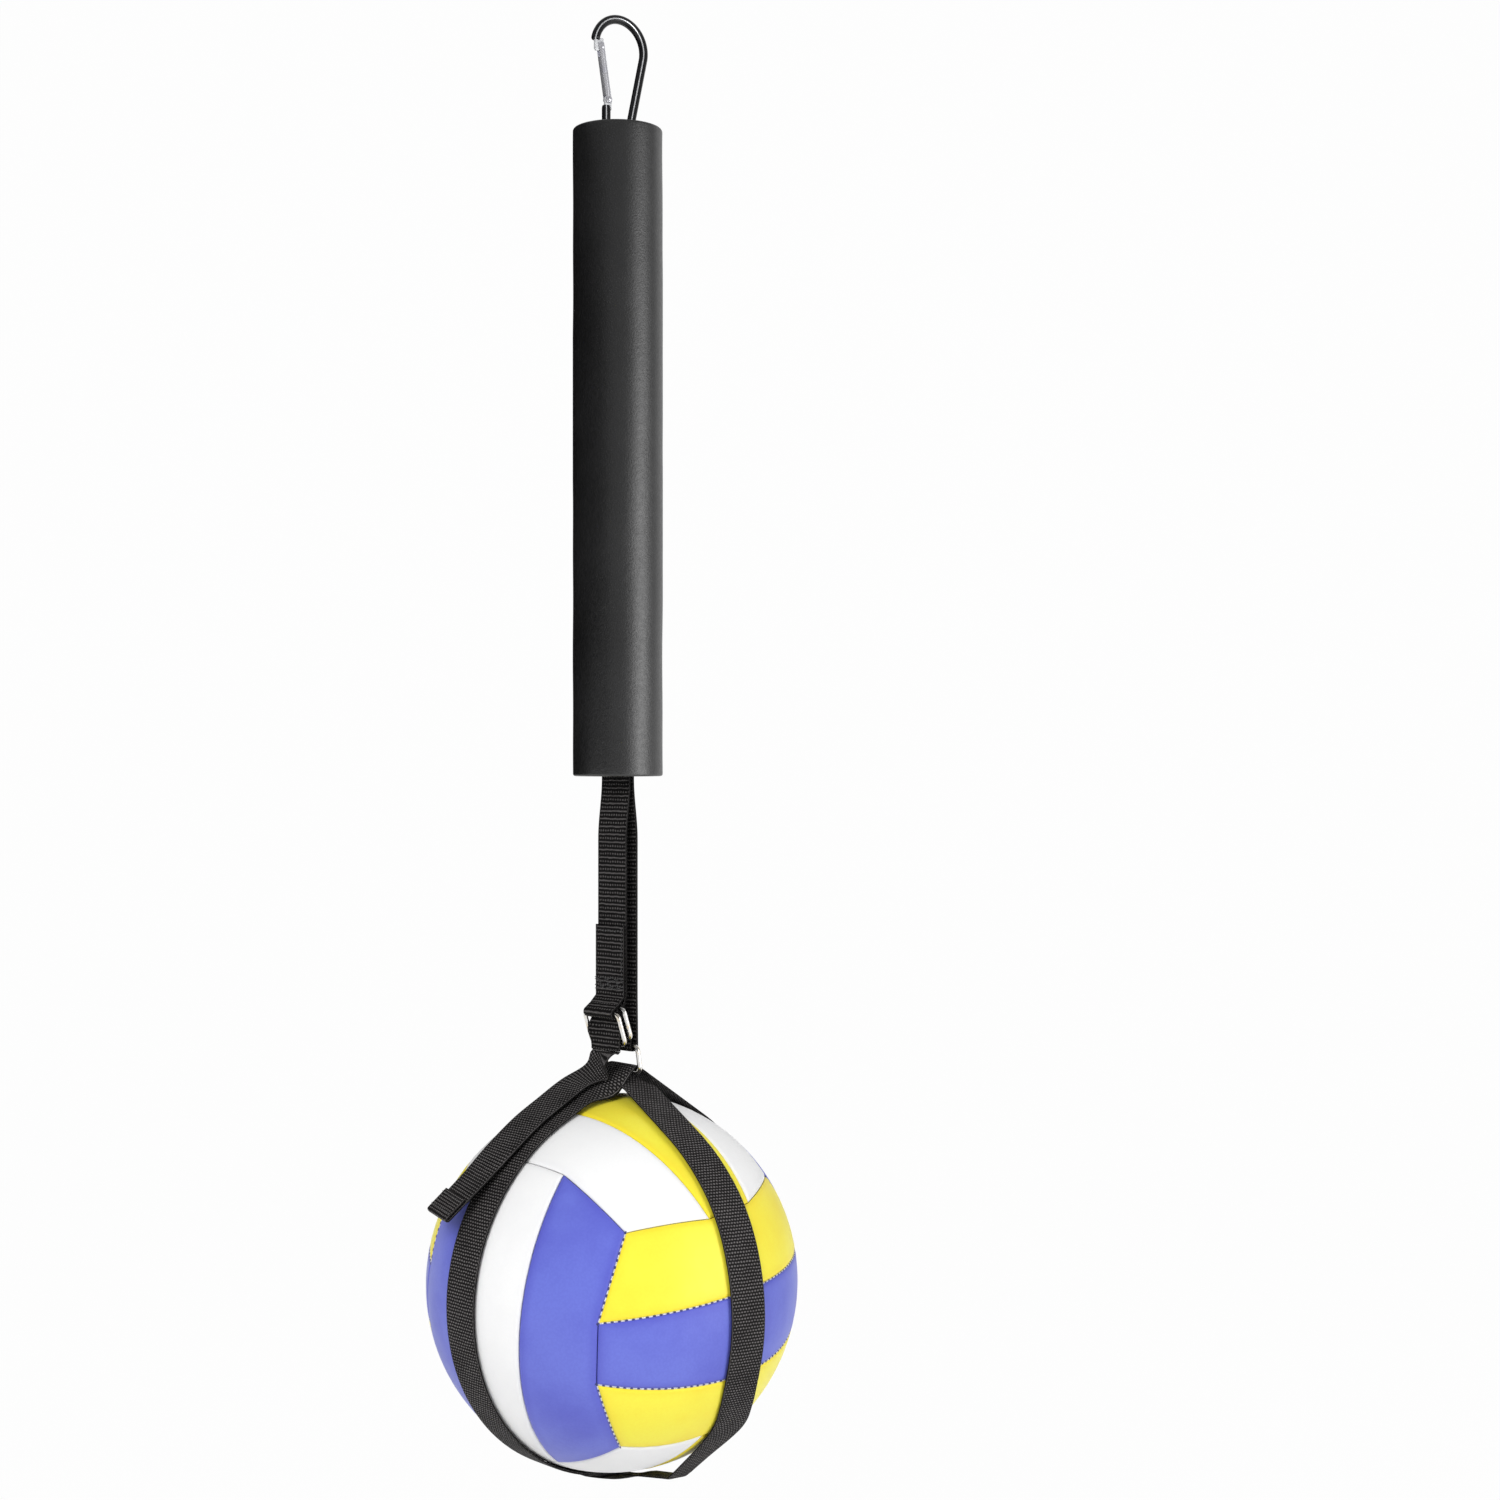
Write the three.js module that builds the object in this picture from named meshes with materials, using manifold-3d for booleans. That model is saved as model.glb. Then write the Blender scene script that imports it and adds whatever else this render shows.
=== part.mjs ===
// Volleyball spike trainer: a carabiner to hang it by, a foam sleeve round a doubled webbing strap, a cinch
// buckle of two rings, a harness of two crossing webbing loops on a wire ring, and the ball that they hold.
// Millimetres, +Z up. The origin is the inside top of the carabiner's hook, where the load bears.
import * as THREE from 'three';
import * as BufferGeometryUtils from 'three/addons/utils/BufferGeometryUtils.js';
import Module from 'manifold-3d';

const wasm = await Module();
wasm.setup();

// Driving dimensions
const clearance = 0.3;
const overrun = 4;
const degree = Math.PI / 180;

const webbing = { width: 25, thickness: 1.5 };

const ball = {
  diameter: 210,
  centreX: -3,
  centreY: 0,
  coverThickness: 1.6,
  seamGap: 0.4,
  seamDrop: 0.7,
  bladderGap: 0.6,
  bladderThickness: 0.8,
  valveDiameter: 5,
  valveFlange: 9,
  valveFlangeThickness: 1.2,
  valveBore: 1,
};

const carabiner = {
  rod: 5,
  grooveWidth: 1.3,
  grooveDepth: 0.7,
  hookRadius: 16.75,
  hookCentreU: 1.1,
  footRadius: 8,
  footCentreU: 0,
  footCentreZ: -58.5,
  azimuth: 38 * degree,
  noseBladeThickness: 1.6,
  noseBladeLength: 7.4,
  noseBladeWidth: 5.8,
  noseLip: 0.8,
  noseAngle: 170.5 * degree,
  heelDrop: 3.4,
};

const gate = {
  outer: 4.7,
  bore: 3.1,
  slot: 2.3,
  slotDepth: 8.2,
  pivotU: -7,
  pivotZ: -44.2,
  topU: -12.2,
  topZ: -12.6,
  pin: 1.4,
  pinInset: 2.9,
  rivet: 1.6,
  rivetHead: 2.8,
  rivetHeadThickness: 0.5,
  headTopShare: 0.7,
  tail: 1.9,
  tab: 1.9,
  tabRadius: 2.1,
  springWire: 0.4,
  springLength: 10,
  springTurns: 7,
  plungerLength: 4,
};

const sleeve = { outer: 51, bore: 27.6, top: -62, length: 364.8, edge: 1.6, bevelShare: 0.3 };

const buckle = {
  wire: 2.4,
  innerBar: { n: 8.4, z: -557 },
  outerBar: { n: 12.6, z: -560 },
  height: 18.5,
  lean: 18.7 * degree,
  sideRoom: 0.8,
  corner: 3,
};

const harnessRing = { wire: 2.8, height: 14.5, lean: 10 * degree, sideRoom: 0.6, corner: 3 };

// The hem: the last stretch of the free end folded back over its outer face
const hem = { length: 14, turns: [60, 120, 180] };

// Half-width and half-thickness of the webbing where it is bunched up in the carabiner's foot
const bunched = { halfWidth: 4.3, halfThickness: 2.1, rodRoom: 0.7, length: 42 };

const strap = {
  azimuth: 46 * degree,
  lowOffset: 3.9,
  mouthOffset: 1.15,
  mouthLength: 34,
  sewnEndTop: -511,
  eyeStart: -550,
  twistTopDrop: 12,
  twistEndRise: 22,
};

const harness = {
  azimuthCross: 44 * degree,
  azimuthUpper: 47 * degree,
  ballDrop: 14.02,
  crossApexRadius: 10,
  crossDrop: 5.8,
  crossDropReach: 16,
  bottomLayerGap: 0.35,
  bridgeMiddle: 24 * degree,
  bridgeReach: 24 * degree,
  layerReach: 15 * degree,
  drift: 5.5,
  tiltRoom: 0.35,
};

// Steps along each stretch and round each section
const steps = {
  bunch: 6,
  inSleeve: 12,
  mouth: 5,
  footWrap: 8,
  tail: 23,
  wireSides: 8,
  buckleArc: 24 * degree,
  loopTop: 6,
  loopArm: 5,
  loopArc: 6 * degree,
  hookArc: 18,
  footArc: 12,
  gateSides: 20,
  tabSides: 20,
  pinSides: 12,
  pinHoleSides: 10,
  springTurn: 10,
  springSides: 5,
  sleeveSides: 48,
  panelLength: 12,
  panelWidth: 4,
  bladderSides: 24,
  bladderRings: 14,
  valveSides: 16,
};

const ballRadius = ball.diameter / 2;
const halfWidth = webbing.width / 2;
const halfThickness = webbing.thickness / 2;

// Unit directions of the lower strap: across its face (towards the front left) and along its width
const faceDirection = new THREE.Vector3(-Math.sin(strap.azimuth), -Math.cos(strap.azimuth), 0);
const widthDirection = new THREE.Vector3(Math.cos(strap.azimuth), -Math.sin(strap.azimuth), 0);
const up = new THREE.Vector3(0, 0, 1);

const colours = {
  black: new THREE.MeshStandardMaterial({ color: 0x16161a, roughness: 0.35, metalness: 0.6 }),
  silver: new THREE.MeshStandardMaterial({ color: 0xd0d0d6, roughness: 0.25, metalness: 1 }),
  foam: new THREE.MeshStandardMaterial({ color: 0x36373a, roughness: 0.6, metalness: 0 }),
  webbing: new THREE.MeshStandardMaterial({ color: 0x2b2929, roughness: 0.8, metalness: 0 }),
  blue: new THREE.MeshStandardMaterial({ color: 0x6670dc, roughness: 0.4, metalness: 0 }),
  yellow: new THREE.MeshStandardMaterial({ color: 0xffe83c, roughness: 0.4, metalness: 0 }),
  white: new THREE.MeshStandardMaterial({ color: 0xf6f6f6, roughness: 0.4, metalness: 0 }),
  rubber: new THREE.MeshStandardMaterial({ color: 0x2a2a2a, roughness: 0.7, metalness: 0 }),
};

const trainer = new THREE.Group();

function addPart(parent, name, geometry, material) {
  const mesh = new THREE.Mesh(geometry, material.clone());
  mesh.name = name;
  parent.add(mesh);
  return mesh;
}

// Joins and cuts

function toSolid(geometry) {
  const bare = geometry.clone();
  bare.deleteAttribute('normal');
  bare.deleteAttribute('uv');
  const merged = BufferGeometryUtils.mergeVertices(bare);
  const vertProperties = new Float32Array(merged.attributes.position.array);
  const triVerts = new Uint32Array(merged.index.array);
  return new wasm.Manifold(new wasm.Mesh({ numProp: 3, vertProperties, triVerts }));
}

function toGeometry(solid) {
  const mesh = solid.getMesh();
  const geometry = new THREE.BufferGeometry();
  const positions = new Float32Array(mesh.vertProperties);
  geometry.setAttribute('position', new THREE.BufferAttribute(positions, mesh.numProp));
  geometry.setIndex(new THREE.BufferAttribute(new Uint32Array(mesh.triVerts), 1));
  return geometry;
}

function place(geometry, position, rotation = new THREE.Quaternion()) {
  const matrix = new THREE.Matrix4().compose(position, rotation, new THREE.Vector3(1, 1, 1));
  return geometry.clone().applyMatrix4(matrix);
}

// A solid through a row of sections, each an array of points in space. An open row gets flat ends.
function loft(sections, closed = false) {
  const count = sections[0].length;
  const positions = sections.flat().flatMap((point) => [point.x, point.y, point.z]);
  const index = [];
  const spans = closed ? sections.length : sections.length - 1;
  for (let i = 0; i < spans; i += 1) {
    const next = (i + 1) % sections.length;
    for (let j = 0; j < count; j += 1) {
      const a = i * count + j;
      const b = i * count + (j + 1) % count;
      const c = next * count + (j + 1) % count;
      const d = next * count + j;
      index.push(a, b, c, a, c, d);
    }
  }
  if (!closed) {
    const last = (sections.length - 1) * count;
    for (const [a, b, c] of endTriangles(sections[0])) index.push(c, b, a);
    for (const [a, b, c] of endTriangles(sections.at(-1))) index.push(last + a, last + b, last + c);
  }
  const geometry = new THREE.BufferGeometry();
  geometry.setAttribute('position', new THREE.Float32BufferAttribute(positions, 3));
  geometry.setIndex(signedVolume(positions, index) < 0 ? index.reverse() : index);
  return geometry;
}

function endTriangles(section) {
  const middle = section.reduce((sum, point) => sum.clone().add(point)).multiplyScalar(1 / section.length);
  const x = section[0].clone().sub(middle).normalize();
  const normal = new THREE.Vector3();
  for (let i = 0; i < section.length; i += 1) {
    const a = section[i].clone().sub(middle);
    normal.add(a.cross(section[(i + 1) % section.length].clone().sub(middle)));
  }
  const y = normal.normalize().cross(x);
  const flat = section.map((point) => {
    const arm = point.clone().sub(middle);
    return new THREE.Vector2(arm.dot(x), arm.dot(y));
  });
  return THREE.ShapeUtils.triangulateShape(flat, []);
}

function signedVolume(positions, index) {
  const corner = (k) => new THREE.Vector3().fromArray(positions, index[k] * 3);
  let sum = 0;
  for (let k = 0; k < index.length; k += 3) sum += corner(k).dot(corner(k + 1).cross(corner(k + 2)));
  return sum;
}

function mix(a, b, share) {
  return a + (b - a) * share;
}

function smooth(share) {
  const t = Math.min(Math.max(share, 0), 1);
  return t * t * (3 - 2 * t);
}

// A round wire along a closed planar route of points, square to the plane's normal
function wireSections(points, normal, radius) {
  return points.map((point, i) => {
    const tangent = points[(i + 1) % points.length].clone().sub(points.at(i - 1)).normalize();
    const side = normal.clone().cross(tangent).normalize();
    return Array.from({ length: steps.wireSides }, (_, k) => {
      const turn = (2 * Math.PI * (k + 0.5)) / steps.wireSides;
      return point.clone()
        .addScaledVector(side, radius * Math.cos(turn))
        .addScaledVector(normal, radius * Math.sin(turn));
    });
  });
}

// Webbing sections

// Outline of flat webbing, as shares of its half-width and half-thickness, and of the same webbing bunched up
const flatShares = octagon(0.95, 0.45);
const bunchedShares = octagon(0.46, 0.3);

function octagon(x, y) {
  return [[1, -y], [1, y], [x, 1], [-x, 1], [-1, y], [-1, -y], [-x, -1], [x, -1]];
}

function webbingSection(station) {
  const { point, across, out, half = halfWidth, thick = halfThickness, bunch = 0 } = station;
  return flatShares.map(([x, y], k) => point.clone()
    .addScaledVector(across, mix(x, bunchedShares[k][0], bunch) * half)
    .addScaledVector(out, mix(y, bunchedShares[k][1], bunch) * thick));
}

// Hanging strap

// Radius from the strap's centre line to the corners that just clear the bore of the sleeve
const boreReach = sleeve.bore / 2 - clearance;
const sleeveOffset = Math.sqrt(boreReach ** 2 - halfWidth ** 2) - halfThickness;
const footZ = carabiner.footCentreZ - carabiner.footRadius;
const wrapRadius = carabiner.rod / 2 + bunched.rodRoom + bunched.halfThickness;
const mouthZ = sleeve.top - sleeve.length;

function strapTurn(z) {
  const from = footZ - strap.twistTopDrop;
  const to = mouthZ + strap.twistEndRise;
  return mix(carabiner.azimuth, -strap.azimuth, smooth((z - from) / (to - from)));
}

function strapOffset(z) {
  const inSleeve = mix(wrapRadius, sleeveOffset, smooth((footZ - z) / bunched.length));
  const toMouth = smooth((mouthZ + strap.mouthLength - z) / (strap.mouthLength - webbing.thickness));
  const below = smooth((mouthZ - webbing.thickness - z) / strap.mouthLength);
  if (z > mouthZ) return mix(inSleeve, strap.mouthOffset, toMouth);
  return mix(strap.mouthOffset, strap.lowOffset, below);
}

function strapStation(side, z) {
  const turn = strapTurn(z);
  const across = new THREE.Vector3(Math.cos(turn), Math.sin(turn), 0);
  const out = new THREE.Vector3(Math.sin(turn), -Math.cos(turn), 0);
  const bunch = 1 - smooth((footZ - z) / bunched.length);
  return {
    point: new THREE.Vector3(0, 0, z).addScaledVector(out, side * strapOffset(z)),
    across,
    out: out.multiplyScalar(side),
    half: mix(halfWidth, bunched.halfWidth, bunch),
    thick: mix(halfThickness, bunched.halfThickness, bunch),
    bunch,
  };
}

function levels(from, to, count) {
  return Array.from({ length: count + 1 }, (_, i) => mix(from, to, i / count));
}

// Levels of the two layers: close steps where the webbing bunches, bends at the mouth and runs to the buckle
const layerLevels = [
  ...levels(footZ, footZ - bunched.length, steps.bunch),
  ...levels(footZ - bunched.length, mouthZ + strap.mouthLength, steps.inSleeve).slice(1),
  ...levels(mouthZ + strap.mouthLength, mouthZ, steps.mouth).slice(1),
  ...levels(mouthZ, mouthZ - strap.mouthLength - webbing.thickness, steps.mouth).slice(1),
];

function footWrap() {
  const turn = carabiner.azimuth;
  const across = new THREE.Vector3(Math.cos(turn), Math.sin(turn), 0);
  const face = new THREE.Vector3(Math.sin(turn), -Math.cos(turn), 0);
  return Array.from({ length: steps.footWrap - 1 }, (_, i) => {
    const angle = (Math.PI * (i + 1)) / steps.footWrap;
    const out = face.clone().multiplyScalar(Math.cos(angle)).addScaledVector(up, Math.sin(angle));
    const point = new THREE.Vector3(0, 0, footZ).addScaledVector(out, wrapRadius);
    return { point, across, out, half: bunched.halfWidth, thick: bunched.halfThickness, bunch: 1 };
  });
}

// Plane of the buckle: n runs across the strap's face, z up. A belt of lines and arcs passes round circles.
// Each circle has a centre, a radius and a turn: 1 anticlockwise, -1 clockwise, 0 for a bare point.
function beltPoints(circles) {
  const contacts = [];
  for (let i = 0; i + 1 < circles.length; i += 1) contacts.push(tangentLine(circles[i], circles[i + 1]));
  const points = [contacts[0][0]];
  for (let i = 1; i < circles.length - 1; i += 1) {
    const circle = circles[i];
    const from = contacts[i - 1][1];
    const to = contacts[i][0];
    if (circle.turn === 0) {
      points.push(from);
      continue;
    }
    const start = Math.atan2(from.y - circle.z, from.x - circle.n);
    let sweep = Math.atan2(to.y - circle.z, to.x - circle.n) - start;
    while (sweep * circle.turn < 0) sweep += 2 * Math.PI * circle.turn;
    const count = Math.max(1, Math.ceil(Math.abs(sweep) / steps.buckleArc));
    for (let k = 0; k <= count; k += 1) {
      const angle = start + (sweep * k) / count;
      const n = circle.n + circle.radius * Math.cos(angle);
      points.push(new THREE.Vector2(n, circle.z + circle.radius * Math.sin(angle)));
    }
  }
  points.push(contacts.at(-1)[1]);
  return points;
}

function tangentLine(first, second) {
  const dx = second.n - first.n;
  const dy = second.z - first.z;
  const distance = Math.hypot(dx, dy);
  const a = first.radius * first.turn;
  const b = second.radius * second.turn;
  const lean = Math.asin((a - b) / distance);
  const along = Math.atan2(dy, dx) + lean;
  const side = new THREE.Vector2(Math.sin(along), -Math.cos(along));
  return [
    new THREE.Vector2(first.n, first.z).addScaledVector(side, a),
    new THREE.Vector2(second.n, second.z).addScaledVector(side, b),
  ];
}

function buckleStations(points) {
  return points.map((point, i) => {
    const before = points[Math.max(i - 1, 0)];
    const after = points[Math.min(i + 1, points.length - 1)];
    const tangent = after.clone().sub(before).normalize();
    return {
      point: faceDirection.clone().multiplyScalar(point.x).addScaledVector(up, point.y),
      across: widthDirection,
      out: faceDirection.clone().multiplyScalar(tangent.y).addScaledVector(up, -tangent.x),
    };
  });
}

const ringDirection = { n: -Math.sin(buckle.lean), z: -Math.cos(buckle.lean) };
const wireWrap = buckle.wire / 2 + clearance + halfThickness;
const innerArc = {
  n: buckle.innerBar.n + ringDirection.n * buckle.height,
  z: buckle.innerBar.z + ringDirection.z * buckle.height,
};
const outerArc = {
  n: buckle.outerBar.n + ringDirection.n * buckle.height,
  z: buckle.outerBar.z + ringDirection.z * buckle.height,
};

// Height, down the inner ring, of the middle of the loose fold that the strap makes through it
const foldShare = 0.42;
const fold = {
  n: buckle.innerBar.n + ringDirection.n * buckle.height * foldShare,
  z: buckle.innerBar.z + ringDirection.z * buckle.height * foldShare,
};

// The harness ring's upper bar sits behind and below the inner buckle ring's arc, clear of both webbing turns
const barWrap = harnessRing.wire / 2 + clearance + halfThickness;
const ringDropShare = 1.35;
const ringDrop = (wireWrap + barWrap) * ringDropShare;
const ringDropAngle = 47.5 * degree;
const upperBar = {
  n: innerArc.n - ringDrop * Math.cos(ringDropAngle),
  z: innerArc.z - ringDrop * Math.sin(ringDropAngle),
};
const lowerBar = {
  n: upperBar.n - harnessRing.height * Math.sin(harnessRing.lean),
  z: upperBar.z - harnessRing.height * Math.cos(harnessRing.lean),
};

// The ball hangs at a fixed drop under the harness ring's lower bar
const ballCentre = new THREE.Vector3(ball.centreX, ball.centreY, lowerBar.z - harness.ballDrop - ballRadius);

const layerGap = webbing.thickness + clearance;
const sewnOffset = strap.lowOffset + layerGap;
const lowestStraight = mouthZ - strap.mouthLength - webbing.thickness;

function eyeRoute() {
  const end = { n: sewnOffset, z: strap.sewnEndTop, radius: 0, turn: 0 };
  const rise = { n: sewnOffset, z: strap.eyeStart + webbing.thickness, radius: 0, turn: 0 };
  const outer = { ...buckle.outerBar, radius: wireWrap, turn: -1 };
  const inner = { ...buckle.innerBar, radius: wireWrap, turn: -1 };
  const back = { n: strap.lowOffset, z: strap.eyeStart, radius: 0, turn: 0 };
  const top = { n: strap.lowOffset, z: lowestStraight, radius: 0, turn: 0 };
  return beltPoints([end, rise, outer, inner, back, top]);
}

function cinchRoute() {
  const start = { n: -strap.lowOffset, z: lowestStraight, radius: 0, turn: 0 };
  const above = { n: -strap.lowOffset, z: strap.eyeStart, radius: 0, turn: 0 };
  const ring = { ...upperBar, radius: barWrap, turn: 1 };
  const inner = { ...innerArc, radius: wireWrap, turn: -1 };
  const turnBack = { ...fold, radius: wireWrap, turn: -1 };
  const outer = { ...outerArc, radius: wireWrap, turn: -1 };
  const leave = {
    n: outerArc.n + wireWrap,
    z: outerArc.z - wireWrap - webbing.thickness,
    radius: 0,
    turn: 0,
  };
  return beltPoints([start, above, ring, inner, turnBack, outer, leave]);
}

const front = layerLevels.map((z) => strapStation(1, z));
const rear = layerLevels.map((z) => strapStation(-1, z));
const eye = buckleStations(eyeRoute());
const cinch = buckleStations(cinchRoute());
const strapRow = [
  ...eye.slice(0, -1),
  ...front.slice().reverse(),
  ...footWrap(),
  ...rear,
  ...cinch.slice(1),
];

// Free end of the strap. Places are shares of the ball's radius from its centre, with the width's direction.
const tailShares = [
  { at: [-0.085, -0.040, 1.137], across: [0.695, -0.719, -0.018] },
  { at: [-0.203, -0.085, 1.072], across: [0.695, -0.719, -0.018] },
  { at: [-0.315, -0.186, 0.991], across: [0.695, -0.719, -0.018] },
  { at: [-0.434, -0.308, 0.901], across: [0.695, -0.719, -0.018] },
  { at: [-0.561, -0.429, 0.776], across: [0.695, -0.719, -0.018] },
  { at: [-0.686, -0.506, 0.640], across: [0.665, -0.746, 0.013] },
  { at: [-0.858, -0.591, 0.462], across: [0.633, -0.774, 0.019] },
];

function tailRow() {
  const start = cinch.at(-1);
  const leave = cinch.at(-1).point.clone().sub(cinch.at(-2).point).normalize();
  const first = start.point.clone().addScaledVector(leave, clearance);
  const places = [first];
  const widths = [widthDirection];
  for (const { at, across } of tailShares) {
    places.push(new THREE.Vector3(...at).multiplyScalar(ballRadius).add(ballCentre));
    widths.push(new THREE.Vector3(...across).normalize());
  }
  const placeCurve = new THREE.CatmullRomCurve3(places, false, 'centripetal');
  const widthCurve = new THREE.CatmullRomCurve3(widths, false, 'centripetal');
  return Array.from({ length: steps.tail + 1 }, (_, i) => {
    const share = i / steps.tail;
    const tangent = i === 0 ? leave : placeCurve.getTangent(share);
    const width = widthCurve.getPoint(share);
    const out = tangent.clone().cross(width).normalize();
    return { point: placeCurve.getPoint(share), across: out.clone().cross(tangent).normalize(), out };
  });
}

function hemmedTail() {
  const row = tailRow();
  const tip = row.at(-1);
  const along = tip.point.clone().sub(row.at(-2).point).normalize();
  const lift = webbing.thickness + clearance;
  const sections = row.map(webbingSection);
  const turn = hem.turns.map((angle) => {
    const radians = angle * degree;
    const out = tip.out.clone().multiplyScalar(Math.cos(radians)).addScaledVector(along, -Math.sin(radians));
    const point = tip.point.clone()
      .addScaledVector(tip.out, lift / 2 - (lift / 2) * Math.cos(radians))
      .addScaledVector(along, (lift / 2) * Math.sin(radians));
    return webbingSection({ point, across: tip.across, out });
  });
  const backPoint = tip.point.clone().addScaledVector(tip.out, lift).addScaledVector(along, -hem.length);
  const back = webbingSection({ point: backPoint, across: tip.across, out: tip.out.clone().negate() });
  return loft([...sections, ...turn, back]);
}

// Buckle rings and the harness ring

function planePoint(place2d, side) {
  return faceDirection.clone().multiplyScalar(place2d.n).addScaledVector(up, place2d.z)
    .addScaledVector(widthDirection, side);
}

// A closed wire loop with rounded corners in the plane that hangs from a bar along the strap's width
function wireLoop(ring, bar) {
  const reach = halfWidth + ring.sideRoom + ring.wire / 2;
  const { height, corner, lean } = ring;
  const half = [];
  const turns = [90, 60, 30, 0];
  for (const turn of turns) {
    const angle = turn * degree;
    half.push([reach - corner + corner * Math.cos(angle), corner - corner * Math.sin(angle)]);
  }
  for (const turn of turns.slice().reverse()) {
    const angle = turn * degree;
    half.push([reach - corner + corner * Math.cos(angle), height - corner + corner * Math.sin(angle)]);
  }
  const outline = [...half, ...half.slice().reverse().map(([x, y]) => [-x, y])];
  const points = outline.map(([x, down]) => planePoint({
    n: bar.n - Math.sin(lean) * down,
    z: bar.z - Math.cos(lean) * down,
  }, x));
  const normal = faceDirection.clone().multiplyScalar(Math.cos(lean)).addScaledVector(up, -Math.sin(lean));
  return loft(wireSections(points, normal, ring.wire / 2), true);
}

// Harness loops

const beltRadius = (ballRadius + clearance) / Math.cos(steps.loopArc / 2) + halfThickness;

// Columns of a loop's section, as shares of its half-width
const columnShares = [-1, -0.5, 0, 0.5, 1];

function harnessSection({ point, across, out, crown = 0 }) {
  const face = (share, side) => point.clone()
    .addScaledVector(across, share * halfWidth)
    .addScaledVector(out, side * halfThickness - crown * share * share);
  return [
    ...columnShares.map((share) => face(share, 1)),
    ...columnShares.slice().reverse().map((share) => face(share, -1)),
  ];
}

// A loop is a belt round the ball and a small round at its top. By its angle from below, bulge lifts it off
// the ball and drift moves it sideways.
function harnessLoop(apex, apexRadius, direction, crownAt, bulgeAt, driftAt) {
  const axis = apex.clone().sub(ballCentre);
  const distance = axis.length();
  axis.normalize();
  const side = direction.clone().addScaledVector(axis, -direction.dot(axis)).normalize();
  const across = axis.clone().cross(side).normalize();
  const lean = Math.acos((beltRadius - apexRadius) / distance);
  const stations = [];
  const push = (x, y, out, drift = 0) => {
    const point = ballCentre.clone().addScaledVector(side, x).addScaledVector(axis, y);
    point.addScaledVector(across, drift);
    const outward = side.clone().multiplyScalar(out[0]).addScaledVector(axis, out[1]);
    stations.push({ point, across, out: outward, crown: crownAt(x, y > beltRadius / 2) });
  };
  for (let i = 0; i <= steps.loopTop; i += 1) {
    const angle = mix(lean, -lean, i / steps.loopTop);
    const out = [-Math.sin(angle), Math.cos(angle)];
    push(-apexRadius * Math.sin(angle), distance + apexRadius * Math.cos(angle), out);
  }
  const armFrom = (sign, share) => {
    const angle = lean * sign;
    const x = mix(apexRadius, beltRadius, share) * Math.sin(angle);
    const y = mix(distance + apexRadius * Math.cos(angle), beltRadius * Math.cos(angle), share);
    push(x, y, [Math.sin(angle), Math.cos(angle)], share * driftAt(Math.PI * sign - angle));
  };
  for (let i = 1; i < steps.loopArm; i += 1) armFrom(1, i / steps.loopArm);
  const around = 2 * (Math.PI - lean);
  const count = Math.ceil(around / steps.loopArc);
  for (let i = 0; i <= count; i += 1) {
    const angle = lean + (around * i) / count;
    const radius = beltRadius + bulgeAt(Math.PI - angle);
    const out = [Math.sin(angle), Math.cos(angle)];
    push(radius * Math.sin(angle), radius * Math.cos(angle), out, driftAt(Math.PI - angle));
  }
  for (let i = steps.loopArm - 1; i > 0; i -= 1) armFrom(-1, i / steps.loopArm);
  return loft(stations.map(harnessSection), true);
}

function harnessLoops(parent) {
  const barPoint = planePoint(lowerBar, 0);
  const none = () => 0;
  const { azimuthUpper, azimuthCross, crossDrop, crossDropReach, layerReach } = harness;
  const upperDirection = new THREE.Vector3(-Math.sin(azimuthUpper), -Math.cos(azimuthUpper), 0);
  const overBar = harnessLoop(barPoint, barWrap + harness.tiltRoom, upperDirection, none, none, none);
  addPart(parent, 'harness_upper_strap', overBar, colours.webbing);

  const crossDirection = new THREE.Vector3(Math.sin(azimuthCross), -Math.cos(azimuthCross), 0);
  const crossApex = barPoint.clone().addScaledVector(up, -barWrap - clearance - harness.crossApexRadius);
  const crown = (x, high) => (high ? crossDrop * (1 - smooth(Math.abs(x) / crossDropReach)) : 0);
  const lift = webbing.thickness + harness.bottomLayerGap + halfWidth ** 2 / (2 * beltRadius);
  // Between two places where it touches the ball, the strap runs straight to a fold and straight back
  const bridge = (angle) => {
    const reach = Math.max(harness.bridgeReach - Math.abs(angle - harness.bridgeMiddle), 0);
    return beltRadius * (1 / Math.cos(reach) - 1);
  };
  const overLayer = (angle) => lift * (1 - smooth((Math.abs(angle) - layerReach / 2) / layerReach));
  const bulge = (angle) => Math.max(overLayer(angle), bridge(angle));
  const drift = (angle) => harness.drift * Math.sin(2 * angle);
  const under = harnessLoop(crossApex, harness.crossApexRadius, crossDirection, crown, bulge, drift);
  addPart(parent, 'harness_cross_strap', under, colours.webbing);
}

// Carabiner, drawn in its own plane: u across, z up, v square to it

const carabinerFrame = new THREE.Group();
carabinerFrame.rotation.z = carabiner.azimuth;
trainer.add(carabinerFrame);

const rodRadius = carabiner.rod / 2;
const hookCentreZ = rodRadius - carabiner.hookRadius;

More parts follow.
